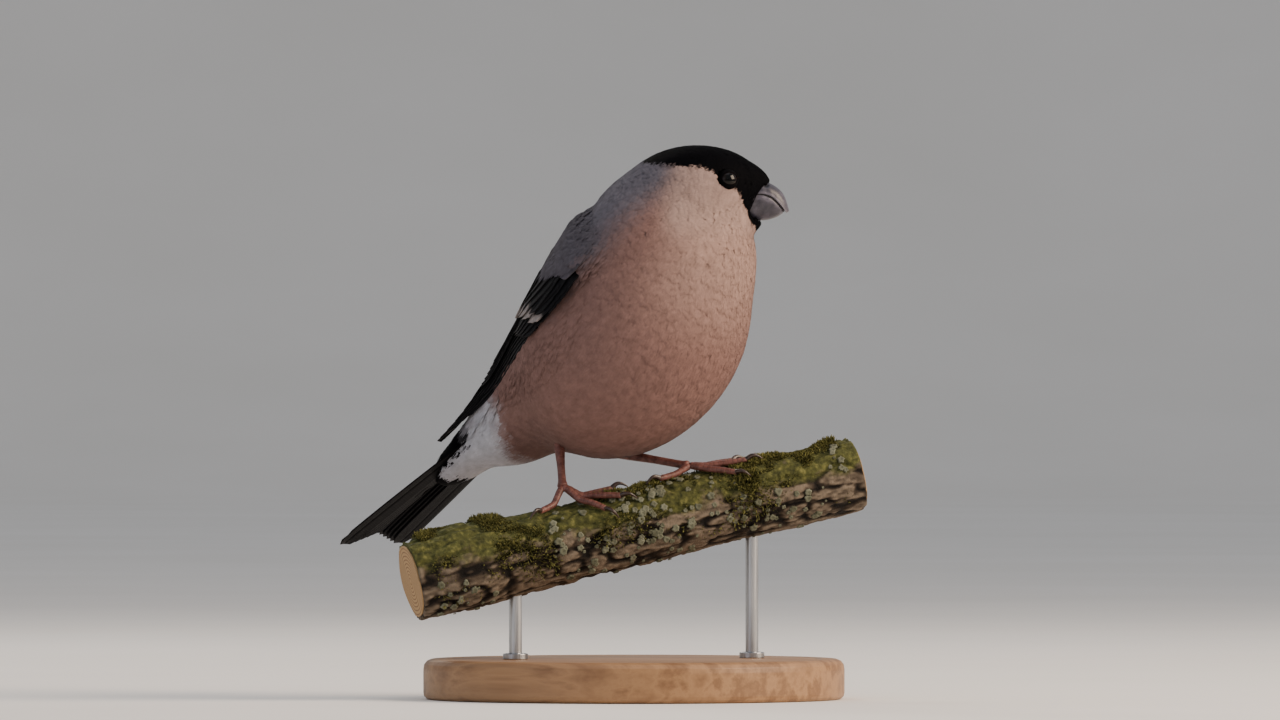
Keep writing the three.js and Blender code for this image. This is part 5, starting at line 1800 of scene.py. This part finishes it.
@dataclass
class Studio:
    """Camera, lamps and a pale round floor whose rim sweeps up all round. Sizes are in metres."""

    target: tuple[float, float, float] = (0.00118, 0.00092, 0.0837)
    towards: tuple[float, float, float] = (0.616, -0.788, 0)
    across: tuple[float, float, float] = (0.788, 0.616, 0)
    distance: float = 3.51
    lens: float = 400
    sensor: float = 36
    flat: float = 4.9
    sweep: float = 1.4
    wall: float = 0.5
    room_light: float = 0.75
    lamps: tuple[Lamp, ...] = (
        Lamp("key", 0.3, 1.05, 0.6, 0.75, 25, "ffe6cb"),
        Lamp("fill", 0.9, -0.8, 0.3, 0.9, 1.2, "dfe8ff"),
        Lamp("rim", -0.7, -0.35, 0.6, 0.3, 2.5, "fff4e6"),
        Lamp("sky", 0.1, 0.0, 1.1, 0.9, 2, "eef2ff"),
    )

    def light(self, lamp: Lamp) -> None:
        """Sets up one lamp."""
        middle = Vector(self.target)
        place = middle + Vector(self.towards) * lamp.towards + Vector(self.across) * lamp.across
        place = place + Vector((0, 0, lamp.up))
        rotation = (place - middle).to_track_quat("Z", "Y").to_euler()
        bpy.ops.object.light_add(type="AREA", location=place, rotation=rotation)
        made = bpy.context.object
        made.name = lamp.name
        made.data.size = lamp.size
        made.data.energy = lamp.power
        made.data.color = linear(lamp.colour)

    def floor(self) -> None:
        """A round floor that sweeps up to a low wall, far enough out that no view is blocked."""
        bpy.ops.mesh.primitive_grid_add(x_subdivisions=180, y_subdivisions=70, size=2)
        floor = bpy.context.object
        floor.name = floor.data.name = "studio_floor"
        rows = Model.corners(floor) * MM
        turn = rows[:, 0] * math.pi
        length = self.flat + self.sweep * math.pi / 2 + self.wall
        reach = (0.5 + rows[:, 1] / 2) * length
        bend = np.clip((reach - self.flat) / self.sweep, 0, math.pi / 2)
        out = np.minimum(reach, self.flat) + self.sweep * np.sin(bend)
        up = self.sweep * (1 - np.cos(bend)) + np.maximum(reach - self.flat - self.sweep * math.pi / 2, 0)
        Model.move(floor, np.stack([out * np.cos(turn), out * np.sin(turn), up], 1) / MM)
        floor.data.shade_smooth()
        floor.data.materials.append(StudioPaper().build())

    def build(self) -> None:
        """Sets the camera, the lamps, the room's light and the floor."""
        towards = Vector(self.towards)
        place = Vector(self.target) + towards * self.distance
        rotation = towards.to_track_quat("Z", "Y").to_euler()
        bpy.ops.object.camera_add(location=place, rotation=rotation)
        camera = bpy.context.object
        camera.data.lens = self.lens
        camera.data.sensor_width = self.sensor
        bpy.context.scene.camera = camera
        for lamp in self.lamps:
            self.light(lamp)
        world = bpy.data.worlds.new("soft_room")
        bpy.context.scene.world = world
        world.use_nodes = True
        sky = world.node_tree.nodes["Background"].inputs
        sky["Color"].default_value = (*linear("c9ccd2"), 1)
        sky["Strength"].default_value = self.room_light
        self.floor()


class Bullfinch:
    """The whole model."""

    LEGS = (
        Leg("right", -15.5, 4.0, (-14.5, -11, 60), ((2, 12), (27, 14), (52, 12), (150, 9))),
        Leg("left", 17.3, 1.9, (-9.2, 9, 60.2), ((-14, 12), (12, 14), (38, 12), (165, 9))),
    )

    def build(self) -> None:
        """Builds every sub-assembly."""
        plumage = Plumage()
        markings = Markings(plumage)
        bill = Bill(plumage)
        eyes = [Eye(plumage, LEFT), Eye(plumage, RIGHT)]
        perch = Perch(self.LEGS)
        skin = Skin(plumage, markings).build()
        Coat(plumage, markings, bill, eyes).build(skin)
        flight = FlightPlumage().build()
        for side in (LEFT, RIGHT):
            Wing(plumage, side).build(flight)
        Tail().build(FlightPlumage("plumage_tail_feathers", 0.03).build())
        bill.build()
        for eye in eyes:
            eye.build()
        scales, horn = ScaledSkin().build(), ClawHorn().build()
        for leg in self.LEGS:
            leg.build(perch, scales, horn)
        perch.build()
        Stand(perch).build()


def main() -> None:
    """Loads the frame, builds the looks over it and sets the studio."""
    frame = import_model()
    logging.basicConfig(level=logging.INFO, format="%(asctime)s %(message)s")
    for piece in bpy.context.selected_objects:
        piece.select_set(False)
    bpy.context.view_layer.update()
    LOG.info("%d solids", len(frame["nodes"]))
    Bullfinch().build()
    Studio().build()


if __name__ == "__main__":
    main()
